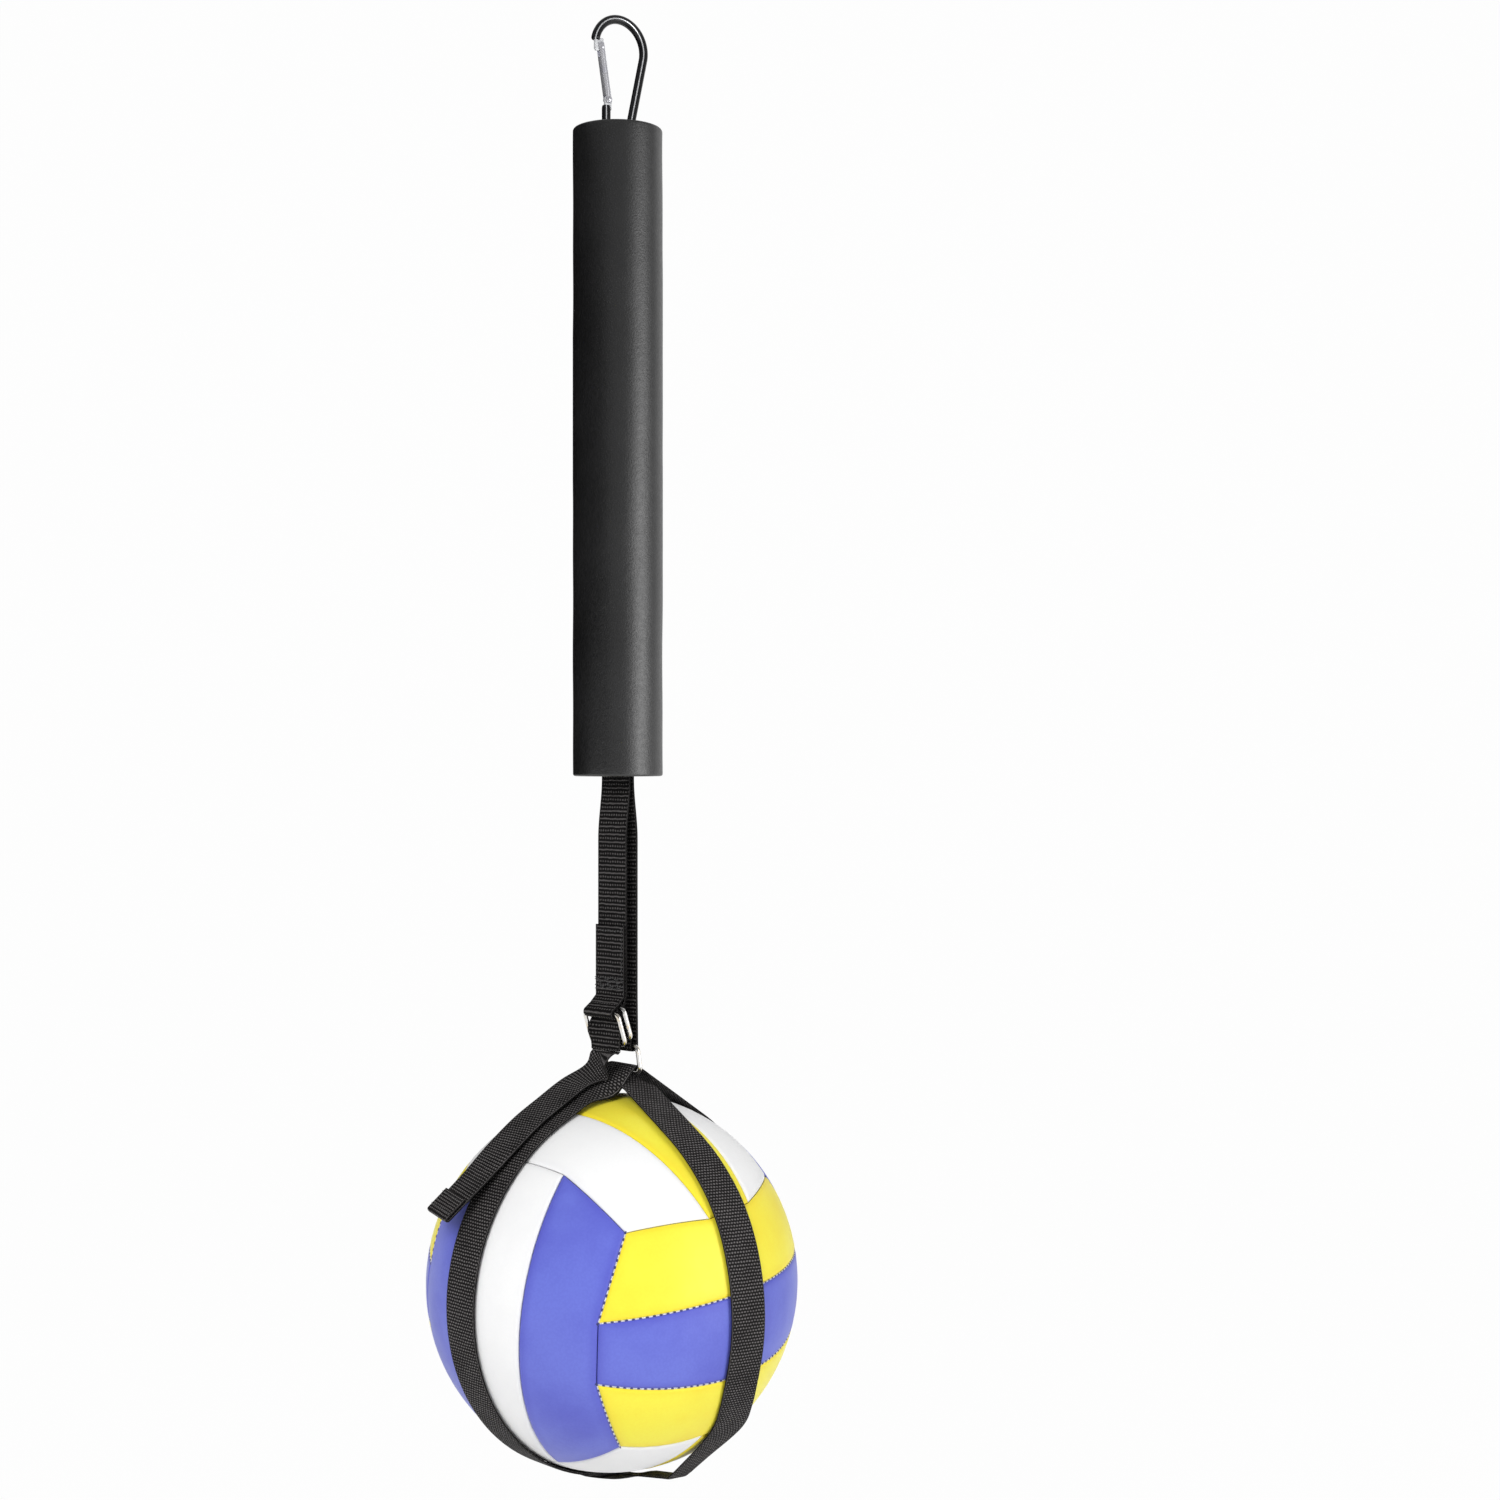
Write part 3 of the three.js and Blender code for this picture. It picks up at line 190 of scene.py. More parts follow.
class Finish:
    """A material under construction: its tree, its shader and the nodes that feed it."""

    def __init__(self, name, **constants):
        self.material = bpy.data.materials.new(name)
        self.material.use_nodes = True
        self.tree = self.material.node_tree
        self.tree.nodes.clear()
        self.output = self.tree.nodes.new("ShaderNodeOutputMaterial")
        self.shader = self.tree.nodes.new("ShaderNodeBsdfPrincipled")
        self.tree.links.new(self.shader.outputs[0], self.output.inputs[0])
        for key, value in constants.items():
            self.shader.inputs[key.replace("_", " ")].default_value = value

    def node(self, kind, settings=None, inputs=None, output=0):
        """Adds a node, sets its settings first, fills its inputs and returns one output."""
        made = self.tree.nodes.new(kind)
        for key, value in (settings or {}).items():
            setattr(made, key, value)
        for key, value in (inputs or {}).items():
            self.feed(made.inputs[key], value)
        return Channel(self, made.outputs[output])

    def feed(self, socket, value):
        if isinstance(value, Channel):
            self.tree.links.new(value.socket, socket)
        elif socket.type == "RGBA" and len(value) == 3:
            socket.default_value = (*value, 1)
        else:
            socket.default_value = value

    def drive(self, **links):
        for key, value in links.items():
            self.feed(self.shader.inputs[key.replace("_", " ")], value)

    def place(self):
        """Object coordinates, which stay with the piece."""
        return self.node("ShaderNodeTexCoord", output="Object")

    def noise(self, vector, scale, detail=3.0, roughness=0.5):
        values = {"Vector": vector, "Scale": scale, "Detail": detail, "Roughness": roughness}
        return self.node("ShaderNodeTexNoise", {}, values)

    def blend(self, factor, first, second):
        """Mixes two colours by a value."""
        return self.node("ShaderNodeMix", {"data_type": "RGBA"}, {0: factor, 6: first, 7: second}, output=2)

    def spread(self, value, low, high, to_low, to_high):
        """Maps a value from one range to another, smoothly clamped."""
        values = {"Value": value, "From Min": low, "From Max": high, "To Min": to_low, "To Max": to_high}
        return self.node("ShaderNodeMapRange", {"interpolation_type": "SMOOTHSTEP"}, values)

    def bump(self, height, distance, strength=1.0):
        values = {"Height": height, "Distance": distance, "Strength": strength}
        return self.node("ShaderNodeBump", {}, values)

    def stretched(self, vector, share):
        """The same places, squeezed along the height, so that a pattern on them is drawn out."""
        return self.node("ShaderNodeMapping", {}, {0: vector, 3: (1, 1, share)})

    def surface(self):
        """The piece's own unwrapped place: across and along, in metres."""
        split = self.node("ShaderNodeUVMap", {"uv_map": "Surface"})
        across = self.node("ShaderNodeSeparateXYZ", {}, {0: split}, output=0)
        return across, Channel(self, across.socket.node.outputs[1])


# Materials. A name that ends in SCALE is a pattern's count of features in a metre.

WEAVE_PITCH_SHARE = 0.8
# Brightness of the painted highlight on the tops of ribs and dots, as shares of the webbing colour
WEAVE_BRIGHTNESS = 1.5
RIB_BRIGHTNESS = 0.85
RIB_WANDER = 0.0009
FUZZ_HEIGHT = 0.00008
SELVEDGE_SHARES = (0.91, 0.94)
SELVEDGE_LINE_SHARE = 0.955
SELVEDGE_LINE_REACH = 0.022
FUZZ_SCALE = 2600.0
THREAD_SCALE = 1900.0
FOAM_PORE_SCALE = 1100.0
CUT_CELL_SCALE = 900.0
DRAW_MARK_SCALE = 3200.0
SCRATCH_SCALE = 2400.0
PEBBLE_SCALE = 760.0
RUBBER_GRAIN_SCALE = 900.0
BLACK_THREAD = (0.035, 0.035, 0.037)
NAVY_THREAD = (0.05, 0.055, 0.22)
WHITE_THREAD = (0.85, 0.85, 0.88)
RUBBER_DARK = (0.012, 0.012, 0.012)
RUBBER_PALE = (0.035, 0.035, 0.037)
ROD_BLACK = (0.005, 0.005, 0.006)
# Colour of the groove band: worn bare metal and a painted highlight line
GROOVE_WEAR_AND_HIGHLIGHT = (0.85, 0.86, 0.88)
STEEL_COLOUR = (0.8, 0.8, 0.84)
STEEL_TINT = (0.7, 0.7, 0.78)
NICKEL_TINT = (0.78, 0.66, 0.46)
# Darker colours of the cover, for its uneven tone, its grain and the painted shade towards the seams
BLUE_TONE_AND_SHADE = (0.085, 0.09, 0.53)
YELLOW_TONE_AND_SHADE = (0.92, 0.72, 0.03)
WHITE_TONE_AND_SHADE = (0.88, 0.88, 0.89)


def make_webbing(name, settings, dotted, rib_height):
    """Flat black webbing with selvedges.

    At dotted 0 it has ribs, plain and dotted in turn, and at 1 rows of dots set half a step off. Their raised
    tops carry a painted highlight and the valleys between them painted shade.
    """
    made = Finish(name, Specular_IOR_Level=0.12)
    across, along = made.surface()
    pitch = settings.rib * mix(1.0, WEAVE_PITCH_SHARE, dotted)
    flat = made.noise(made.place(), scale=70.0, detail=4.0)
    fuzz = made.noise(made.place(), scale=FUZZ_SCALE, detail=2.0)
    bow = made.noise(made.place(), scale=260.0, detail=2.0)
    row = (along + (bow - 0.5) * RIB_WANDER) / pitch
    ridge = abs((row * math.pi).sine())
    odd = (row * 0.5).part().above(0.5)
    dots = abs(((across / settings.thread + odd * 0.5 * dotted) * math.pi).sine())
    plain = ridge ** 4.0
    beads = (ridge ** 2.2) * (dots ** 1.8)
    share = odd * (1 - dotted) * 0.9 + dotted * 0.85
    body = plain * (1 - share) + beads * share
    field = abs(across) / (WEBBING_HALF_WIDTH * MM)
    selvedge = made.spread(field, *SELVEDGE_SHARES, 0.0, 1.0)
    line = made.spread(abs(field - SELVEDGE_LINE_SHARE), 0.0, SELVEDGE_LINE_REACH, 0.75, 0.0)
    height = body * (1 - selvedge) + line
    # Painted highlight on the raised ribs, dots and selvedge line, and painted shade in the valleys between
    # them
    bright = height * (0.45 + flat * 1.1)
    colour = tinted(settings.colour, mix(RIB_BRIGHTNESS, WEAVE_BRIGHTNESS, dotted))
    shade = made.blend(made.spread(bright, 0.1, 0.85, 0.0, 1.0), tinted(colour, 0.04), colour)
    shade = made.blend(made.spread(fuzz, 0.35, 0.75, 0.0, 0.45), shade, tinted(colour, 0.1))
    bump = made.bump(height * rib_height + fuzz * FUZZ_HEIGHT, 1.0)
    made.drive(Base_Color=shade, Roughness=made.spread(bright, 0.0, 1.0, 0.85, 0.5), Normal=bump)
    return made.material


def tinted(colour, share):
    """A colour at a share of its brightness."""
    return tuple(part * share for part in colour)


def make_thread(name, colour):
    """Twisted sewing thread with a faint sheen."""
    made = Finish(name, Sheen_Weight=0.3)
    strand = made.noise(made.place(), scale=THREAD_SCALE, detail=2.0)
    shade = made.blend(made.spread(strand, 0.3, 0.7, 0.0, 1.0), tinted(colour, 0.6), colour)
    made.drive(Base_Color=shade, Roughness=made.spread(strand, 0.3, 0.7, 0.75, 0.5),
               Normal=made.bump(strand, 0.0001))
    return made.material


def make_foam(name, settings):
    """Closed-cell foam with a satin skin: fine pores with painted shade in their hollows, soft dents and
    slightly lighter rubbed patches.
    """
    made = Finish(name, Specular_IOR_Level=1.0)
    place = made.place()
    pores = made.node("ShaderNodeTexVoronoi", {"feature": "F1"}, {"Vector": place, "Scale": FOAM_PORE_SCALE})
    cloud = made.noise(place, scale=14.0, detail=4.0, roughness=0.6)
    grain = made.noise(place, scale=420.0, detail=5.0, roughness=0.65)
    colour = settings.colour
    shade = made.blend(made.spread(cloud, 0.35, 0.7, 0.0, 1.0), tinted(colour, 0.72), tinted(colour, 1.25))
    # Painted shade in the hollows of the pores
    shade = made.blend(made.spread(pores, 0.1, 0.5, 0.35, 0.0), shade, tinted(colour, 0.4))
    rough = made.spread(grain, 0.3, 0.7, 0.37, 0.46)
    height = pores * 0.35 + grain * 0.65
    made.drive(Base_Color=shade, Roughness=rough, Normal=made.bump(height, 0.00022, 0.7))
    return made.material


def make_cut_foam(name, settings):
    """The cut ends and bore of the foam, with open cells whose hollows are darkened by painted shade."""
    made = Finish(name)
    values = {"Vector": made.place(), "Scale": CUT_CELL_SCALE}
    cells = made.node("ShaderNodeTexVoronoi", {"feature": "F1"}, values)
    colour = settings.colour
    # Painted shade in the hollows of the open cells
    shade = made.blend(made.spread(cells, 0.0, 0.6, 0.0, 1.0), tinted(colour, 0.3), tinted(colour, 1.2))
    made.drive(Base_Color=shade, Roughness=made.spread(cells, 0.0, 0.6, 0.95, 0.8),
               Normal=made.bump(cells, 0.0005))
    return made.material


def make_black_metal(name, settings):
    """Satin black rod whose groove shows bright metal: partly worn bare metal, partly a painted highlight
    line.
    """
    made = Finish(name, Coat_Roughness=0.12, Specular_IOR_Level=0.25)
    place = made.place()
    across = made.surface()[0]
    scratch = made.noise(made.stretched(place, 0.06), scale=SCRATCH_SCALE, detail=3.0)
    worn = made.noise(place, scale=240.0, detail=4.0, roughness=0.6)
    # Bright band down the groove: partly worn bare metal, partly a painted highlight line
    groove = made.spread(abs(across), settings.groove * 0.15, settings.groove * 0.3, 1.0, 0.0)
    wear_and_highlight = groove * made.spread(worn, 0.3, 0.5, 0.7, 1.0)
    shade = made.blend(wear_and_highlight, ROD_BLACK, GROOVE_WEAR_AND_HIGHLIGHT)
    rough = made.spread(scratch, 0.3, 0.75, 0.2, 0.34)
    made.drive(Base_Color=shade, Metallic=made.spread(wear_and_highlight, 0.0, 1.0, 0.0, 0.5), Roughness=rough,
               Coat_Weight=made.spread(wear_and_highlight, 0.0, 0.6, 0.2, 0.0),
               Normal=made.bump(scratch * 0.4 + worn * 0.6, 0.00003))
    return made.material


def make_bright_metal(name, colour, tint, roughness, metallic):
    """Plated or drawn metal with fine draw marks and a faint tint in places."""
    made = Finish(name, Metallic=metallic)
    place = made.place()
    lines = made.noise(made.stretched(place, 0.08), scale=DRAW_MARK_SCALE, detail=2.0)
    cloud = made.noise(place, scale=180.0, detail=3.0, roughness=0.6)
    shade = made.blend(made.spread(cloud, 0.5, 0.72, 0.0, 0.75), colour, tint)
    rough = made.spread(lines + cloud * 0.5, 0.4, 1.1, roughness, roughness + 0.07)
    made.drive(Base_Color=shade, Roughness=rough, Normal=made.bump(lines, 0.00002, 0.08))
    return made.material


def make_cover(name, colour, tone_and_shade):
    """Soft synthetic leather: fine pebble grain, painted shade that darkens it towards the seams, and a faint
    sheen.
    """
    made = Finish(name, Specular_IOR_Level=0.45, Sheen_Weight=0.06, Sheen_Roughness=0.4)
    place = made.place()
    values = {"Vector": place, "Scale": PEBBLE_SCALE}
    pebble = made.node("ShaderNodeTexVoronoi", {"feature": "SMOOTH_F1"}, values)
    cloud = made.noise(place, scale=22.0, detail=4.0, roughness=0.55)
    fine = made.noise(place, scale=1500.0, detail=3.0)
    edge = made.node("ShaderNodeAttribute", {"attribute_name": "edge"}, output="Fac")
    shade = made.blend(made.spread(cloud, 0.35, 0.7, 0.0, 0.5), colour, tone_and_shade)
    # Painted shade: the cover darkens towards the seams by the edge share
    shade = made.blend(made.spread(edge, 0.0, 1.0, 0.55, 0.0), shade, tone_and_shade)
    shade = made.blend(made.spread(pebble, 0.25, 0.6, 0.0, 0.12), shade, tone_and_shade)
    rough = made.spread(cloud + fine * 0.3, 0.4, 0.9, 0.4, 0.52)
    made.drive(Base_Color=shade, Roughness=rough, Normal=made.bump(pebble * 0.7 + fine * 0.3, 0.00012, 0.55))
    return made.material


def make_rubber(name):
    """Black rubber with a fine grain."""
    made = Finish(name)
    grain = made.noise(made.place(), scale=RUBBER_GRAIN_SCALE, detail=3.0)
    shade = made.blend(made.spread(grain, 0.3, 0.7, 0.0, 1.0), RUBBER_DARK, RUBBER_PALE)
    made.drive(Base_Color=shade, Roughness=made.spread(grain, 0.3, 0.7, 0.6, 0.8),
               Normal=made.bump(grain, 0.0001))
    return made.material


def shared(name, maker, *details, **numbers):
    """The material of that name, made the first time that a piece asks for it."""
    return bpy.data.materials.get(name) or maker(name, *details, **numbers)


# Mesh helpers, all in millimetres until the mesh is written

def mix(a, b, share):
    return a + (b - a) * share


def smooth(share):
    t = min(max(share, 0.0), 1.0)
    return t * t * (3 - 2 * t)


def write_mesh(name, points, faces, corners=None, soft=True):
    """A new object in metres at the origin; corners holds one place on the surface for each face corner."""
    mesh = bpy.data.meshes.new(name)
    mesh.from_pydata([tuple(p * MM) for p in points], [], faces)
    if corners is not None:
        layer = mesh.uv_layers.new(name="Surface")
        flat = [value * MM for face in corners for corner in face for value in corner]
        layer.data.foreach_set("uv", flat)
    mesh.polygons.foreach_set("use_smooth", [soft] * len(mesh.polygons))
    mesh.update()
    made = bpy.data.objects.new(name, mesh)
    bpy.context.scene.collection.objects.link(made)
    return made


def skin(name, rows, across, along, ring=False):
    """A closed surface through rows of points. across and along give the place of each column and row."""
    count = len(rows[0])
    points = [point for row in rows for point in row]
    faces = []
    corners = []
    spans = len(rows) if ring else len(rows) - 1
    for i in range(spans):
        k = (i + 1) % len(rows)
        for j in range(count):
            m = (j + 1) % count
            faces.append((i * count + j, i * count + m, k * count + m, k * count + j))
            corners.append(((across[j], along[i]), (across[j + 1], along[i]),
                            (across[j + 1], along[i + 1]), (across[j], along[i + 1])))
    if not ring:
        last = (len(rows) - 1) * count
        faces.append(tuple(range(count - 1, -1, -1)))
        corners.append(tuple((across[j], along[0]) for j in range(count - 1, -1, -1)))
        faces.append(tuple(range(last, last + count)))
        corners.append(tuple((across[j], along[-1]) for j in range(count)))
    made = write_mesh(name, points, faces, corners)
    turn_outwards(made)
    return made


def turn_outwards(made):
    """Recalculates the normals of a closed mesh, so that its faces point outwards."""
    mesh = bmesh.new()
    mesh.from_mesh(made.data)
    bmesh.ops.recalc_face_normals(mesh, faces=mesh.faces)
    mesh.to_mesh(made.data)
    mesh.free()


def finish_piece(made, body, slot, material, *nodes):
    """Gives a piece its material, its body and the nodes that it stands for. The slot is not used."""
    if material is not None:
        made.data.materials.clear()
        made.data.materials.append(material)
    if body is not None:
        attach(made, body)
    if nodes:
        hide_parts(*nodes)
    return made


def apply_modifiers(made):
    """Turns what the modifiers make into the object's plain mesh and removes them."""
    bpy.context.view_layer.update()
    graph = bpy.context.evaluated_depsgraph_get()
    mesh = bpy.data.meshes.new_from_object(made.evaluated_get(graph))
    old = made.data
    made.modifiers.clear()
    made.data = mesh
    mesh.name = made.name
    if old.users == 0:
        bpy.data.meshes.remove(old)
    return made


def join_meshes(name, parts):
    """One object from several, whose meshes already lie in place."""
    bpy.ops.object.select_all(action="DESELECT")
    for part in parts:
        part.select_set(True)
    bpy.context.view_layer.objects.active = parts[0]
    bpy.ops.object.join()
    parts[0].name = name
    parts[0].data.name = name
    return parts[0]


def catmull(points, steps):
    """A smooth curve through points, with so many steps from each to the next."""
    row = []
    for i in range(len(points) - 1):
        before = points[i - 1] if i > 0 else points[i] * 2 - points[i + 1]
        a, b = points[i], points[i + 1]
        after = points[i + 2] if i + 2 < len(points) else points[i + 1] * 2 - points[i]
        for k in range(steps):
            t = k / steps
            row.append(((a * 2) + (b - before) * t + (before * 2 - a * 5 + b * 4 - after) * t * t
                        + (a * 3 - before - b * 3 + after) * t * t * t) * 0.5)
    row.append(points[-1])
    return row


def lengths(points, ring=False):
    """Distance along a row of points, up to each of them, and round to the first again for a ring."""
    total = [0.0]
    for a, b in zip(points, points[1:] + ([points[0]] if ring else [])):
        total.append(total[-1] + (b - a).length)
    return total


def steps_to(start, end, steps):
    """Even steps from one value to another, without the first."""
    return [mix(start, end, i / steps) for i in range(1, steps + 1)]


def arc_places(centre, radius, start, end, steps):
    """Places along an arc in a plane, with both its ends."""
    angles = [mix(start, end, i / steps) for i in range(steps + 1)]
    return [(centre[0] + radius * math.cos(angle), centre[1] + radius * math.sin(angle)) for angle in angles]


def about(base, axis):
    """A function that gives the place at a reach along the axis, a radius and an angle round it."""
    side = axis.orthogonal().normalized()
    other = axis.cross(side)

    def place(reach, radius, angle):
        return base + axis * reach + (side * math.cos(angle) + other * math.sin(angle)) * radius
    return place


def turned(name, profile, base, axis, sides=40, ring=False):
    """A body turned on an axis from base, through (reach, radius) places.

    The profile of a ring closes on itself.
    """
    place = about(base, axis)
    turns = [2 * math.pi * k / sides for k in range(sides + 1)]
    rows = [[place(reach, radius, turn) for turn in turns[:-1]] for reach, radius in profile]
    widest = max(radius for reach, radius in profile)
    along = lengths([Vector(at) for at in profile], ring)
    return skin(name, rows, [widest * turn for turn in turns], along, ring)


def cut_away(made, cutters):
    """Cuts bodies out of a piece and removes them."""
    for cutter in cutters:
        cut = made.modifiers.new("Cut", "BOOLEAN")
        cut.operation = "DIFFERENCE"
        cut.solver = "EXACT"
        cut.object = cutter
    apply_modifiers(made)
    for cutter in cutters:
        bpy.data.objects.remove(cutter)


# Webbing

# Places of the columns of points across the webbing, as shares of its half-width
HALF_COLUMNS = (0.28, 0.52, 0.72, 0.86, 0.94, 0.985, 1.0)
COLUMNS = (*(-share for share in reversed(HALF_COLUMNS)), 0.0, *HALF_COLUMNS)


SELVEDGE_POWER = 9
BUNCH_WAVE = 0.22
BUNCH_WAVES = 3.0
BUNCH_THINNING = 0.28


class Station:
    """One place along a strap: its middle, the direction of its width and of its face, and its form there.

    half and thick are half its width and thickness, bunch is how far it is gathered into waves, crown lowers
    both edges and edge lifts the left and the right one, in millimetres.
    """

    def __init__(self, point, across, out, half=WEBBING_HALF_WIDTH, thick=WEBBING_HALF_THICKNESS, bunch=0.0,
                 crown=0.0, edge=(0.0, 0.0)):
        self.point = point
        self.across = across
        self.out = out
        self.half = half
        self.thick = thick
        self.bunch = bunch
        self.crown = crown
        self.edge = edge


def strap_outline(station):
    """The points round a strap's section: flat with rounded selvedges, in waves where it is bunched."""
    top = []
    low = []
    for share in COLUMNS:
        lift = (1 - abs(share) ** SELVEDGE_POWER) ** 0.5
        pucker = station.bunch * BUNCH_WAVE * math.cos(share * math.pi * BUNCH_WAVES)
        narrow = mix(1.0, (1 - BUNCH_THINNING * share * share), station.bunch)
        side = station.edge[0] if share < 0 else station.edge[1]
        base = station.point + station.across * (share * station.half)
        base = base + station.out * (side * abs(share) ** 3 - station.crown * share * share)
        thick = station.thick * lift * narrow
        top.append(base + station.out * (thick * (1 + pucker)))
        if abs(share) < 1.0:
            low.append(base - station.out * (thick * (1 - pucker)))
    return top + low[::-1]


def strap_places():
    """The place across the webbing of every point round its section, and of the first again."""
    top = [share * WEBBING_HALF_WIDTH for share in COLUMNS]
    low = [share * WEBBING_HALF_WIDTH for share in COLUMNS if abs(share) < 1.0]
    return top + low[::-1] + [top[0]]


def webbing(name, stations, ring=False):
    """A strap through stations."""
    along = lengths([station.point for station in stations], ring)
    return skin(name, [strap_outline(station) for station in stations], strap_places(), along, ring)


# Stitches and wire, grown along paths by node trees

def new_tree(name, sockets):
    """An empty node tree that takes and gives geometry and has those inputs."""
    tree = bpy.data.node_groups.new(name, "GeometryNodeTree")
    tree.interface.new_socket(name="Geometry", in_out="INPUT", socket_type="NodeSocketGeometry")
    for label, kind in sockets:
        tree.interface.new_socket(name=label, in_out="INPUT", socket_type=kind)
    tree.interface.new_socket(name="Geometry", in_out="OUTPUT", socket_type="NodeSocketGeometry")
    return tree


def tree_node(tree, kind, settings=None, inputs=None):
    """Adds a node to a tree, with its settings, and links or fills its inputs."""
    made = tree.nodes.new(kind)
    for key, value in (settings or {}).items():
        setattr(made, key, value)
    for key, value in (inputs or {}).items():
        if isinstance(value, bpy.types.NodeSocket):
            tree.links.new(value, made.inputs[key])
        else:
            made.inputs[key].default_value = value
    return made


def stitch_tree():
    """Small rounded stitches along a path, one each pitch."""
    found = bpy.data.node_groups.get("Stitch row")
    if found:
        return found
    tree = new_tree("Stitch row", (("Pitch", "NodeSocketFloat"), ("Stitch length", "NodeSocketFloat"),
                                   ("Thread", "NodeSocketFloat"), ("Material", "NodeSocketMaterial")))
    entry = tree.nodes.new("NodeGroupInput")
    curve = tree_node(tree, "GeometryNodeMeshToCurve", {}, {0: entry.outputs["Geometry"]})
    spaced = tree_node(tree, "GeometryNodeResampleCurve", {"mode": "LENGTH"},
                       {0: curve.outputs[0], "Length": entry.outputs["Pitch"]})
    bead = tree_node(tree, "GeometryNodeMeshUVSphere", {}, {"Segments": 6, "Rings": 5, "Radius": 1.0})
    half = tree_node(tree, "ShaderNodeMath", {"operation": "MULTIPLY"},
                     {0: entry.outputs["Stitch length"], 1: 0.5})
    size = tree_node(tree, "ShaderNodeCombineXYZ", {},
                     {0: entry.outputs["Thread"], 1: entry.outputs["Thread"], 2: half.outputs[0]})
    tangent = tree_node(tree, "GeometryNodeInputTangent")
    facing = tree_node(tree, "FunctionNodeAlignRotationToVector", {"axis": "Z"},
                       {"Vector": tangent.outputs[0]})
    placed = tree_node(tree, "GeometryNodeInstanceOnPoints", {},
                       {"Points": spaced.outputs[0], "Instance": bead.outputs[0],
                        "Rotation": facing.outputs[0], "Scale": size.outputs[0]})
    real = tree_node(tree, "GeometryNodeRealizeInstances", {}, {0: placed.outputs[0]})
    soft = tree_node(tree, "GeometryNodeSetShadeSmooth", {}, {0: real.outputs[0]})
    clad = tree_node(tree, "GeometryNodeSetMaterial", {},
                     {"Geometry": soft.outputs[0], "Material": entry.outputs["Material"]})
    leave = tree.nodes.new("NodeGroupOutput")
    tree.links.new(clad.outputs[0], leave.inputs[0])
    return tree


def wire_tree():
    """A round wire along a path."""
    found = bpy.data.node_groups.get("Round wire")
    if found:
        return found
    tree = new_tree("Round wire", (("Wire", "NodeSocketFloat"), ("Step", "NodeSocketFloat"),
                                   ("Sides", "NodeSocketInt"), ("Material", "NodeSocketMaterial")))
    entry = tree.nodes.new("NodeGroupInput")
    curve = tree_node(tree, "GeometryNodeMeshToCurve", {}, {0: entry.outputs["Geometry"]})
    even = tree_node(tree, "GeometryNodeResampleCurve", {"mode": "LENGTH"},
                     {0: curve.outputs[0], "Length": entry.outputs["Step"]})
    radius = tree_node(tree, "ShaderNodeMath", {"operation": "MULTIPLY"}, {0: entry.outputs["Wire"], 1: 0.5})
    circle = tree_node(tree, "GeometryNodeCurvePrimitiveCircle", {},
                       {"Resolution": entry.outputs["Sides"], "Radius": radius.outputs[0]})
    tube = tree_node(tree, "GeometryNodeCurveToMesh", {},
                     {"Curve": even.outputs[0], "Profile Curve": circle.outputs[0], "Fill Caps": True})
    soft = tree_node(tree, "GeometryNodeSetShadeSmooth", {}, {0: tube.outputs[0]})
    real = tree_node(tree, "GeometryNodeRealizeInstances", {}, {0: soft.outputs[0]})
    clad = tree_node(tree, "GeometryNodeSetMaterial", {},
                     {"Geometry": real.outputs[0], "Material": entry.outputs["Material"]})
    leave = tree.nodes.new("NodeGroupOutput")
    tree.links.new(clad.outputs[0], leave.inputs[0])
    return tree


def grow(name, tree, paths, values, ring=False):
    """Runs a tree on paths, given as rows of points, and keeps what it grows as a plain mesh."""
    points = [point for path in paths for point in path]
    edges = []
    base = 0
    for path in paths:
        edges += [(base + i, base + i + 1) for i in range(len(path) - 1)]
        if ring:
            edges.append((base + len(path) - 1, base))
        base += len(path)
    mesh = bpy.data.meshes.new(name)
    mesh.from_pydata([tuple(p * MM) for p in points], edges, [])
    made = bpy.data.objects.new(name, mesh)
    bpy.context.scene.collection.objects.link(made)
    grower = made.modifiers.new("Grow", "NODES")
    grower.node_group = tree
    for item in tree.interface.items_tree:
        if item.in_out == "INPUT" and item.name in values:
            grower[item.identifier] = values[item.name]
    apply_modifiers(made)
    return made


def stitches(name, paths, material, pitch, share, thread):
    """Stitches along paths, each as long as that share of their pitch and as thick as the thread."""
    values = {"Pitch": pitch * MM, "Stitch length": pitch * share * MM, "Thread": thread * MM,
              "Material": material}
    return grow(name, stitch_tree(), paths, values)


def wire(name, paths, material, across, step, sides, ring=False):
    """Round wire along paths, with a section of so many sides at every step."""
    values = {"Wire": across * MM, "Step": step * MM, "Sides": sides, "Material": material}
    return grow(name, wire_tree(), paths, values, ring)


# Hanging strap: its path from the sewn end over the hook's foot and down through the buckle

FOOT_Z = -66.5
MOUTH_Z = -426.8
WRAP_RADIUS = 5.3
BORE_RADIUS = 27.6 / 2
SLEEVE_OFFSET = math.sqrt((BORE_RADIUS - CLEARANCE) ** 2 - WEBBING_HALF_WIDTH ** 2) - WEBBING_HALF_THICKNESS
BUNCH_LENGTH = 42.0
BUNCH_HALF_WIDTH = 4.3
BUNCH_HALF_THICKNESS = 2.1
TWIST_TOP_DROP = 12
TWIST_END_RISE = 22
MOUTH_OFFSET = 1.15
MOUTH_LENGTH = 34.0
LOW_OFFSET = 3.9
LOWEST = MOUTH_Z - MOUTH_LENGTH - WEBBING_THICKNESS
SEWN_OFFSET = LOW_OFFSET + WEBBING_THICKNESS + CLEARANCE
SEWN_TOP = -511.0
EYE_START = -550.0
BUCKLE_WIRE = 2.4
BUCKLE_ROOM = 0.8
RING_WIRE = 2.8
RING_ROOM = 0.6
WIRE_CORNER = 3.0
INNER_BAR = (8.4, -557.0)
OUTER_BAR = (12.6, -560.0)
BUCKLE_HEIGHT = 18.5
BUCKLE_LEAN = 18.7 * DEGREE
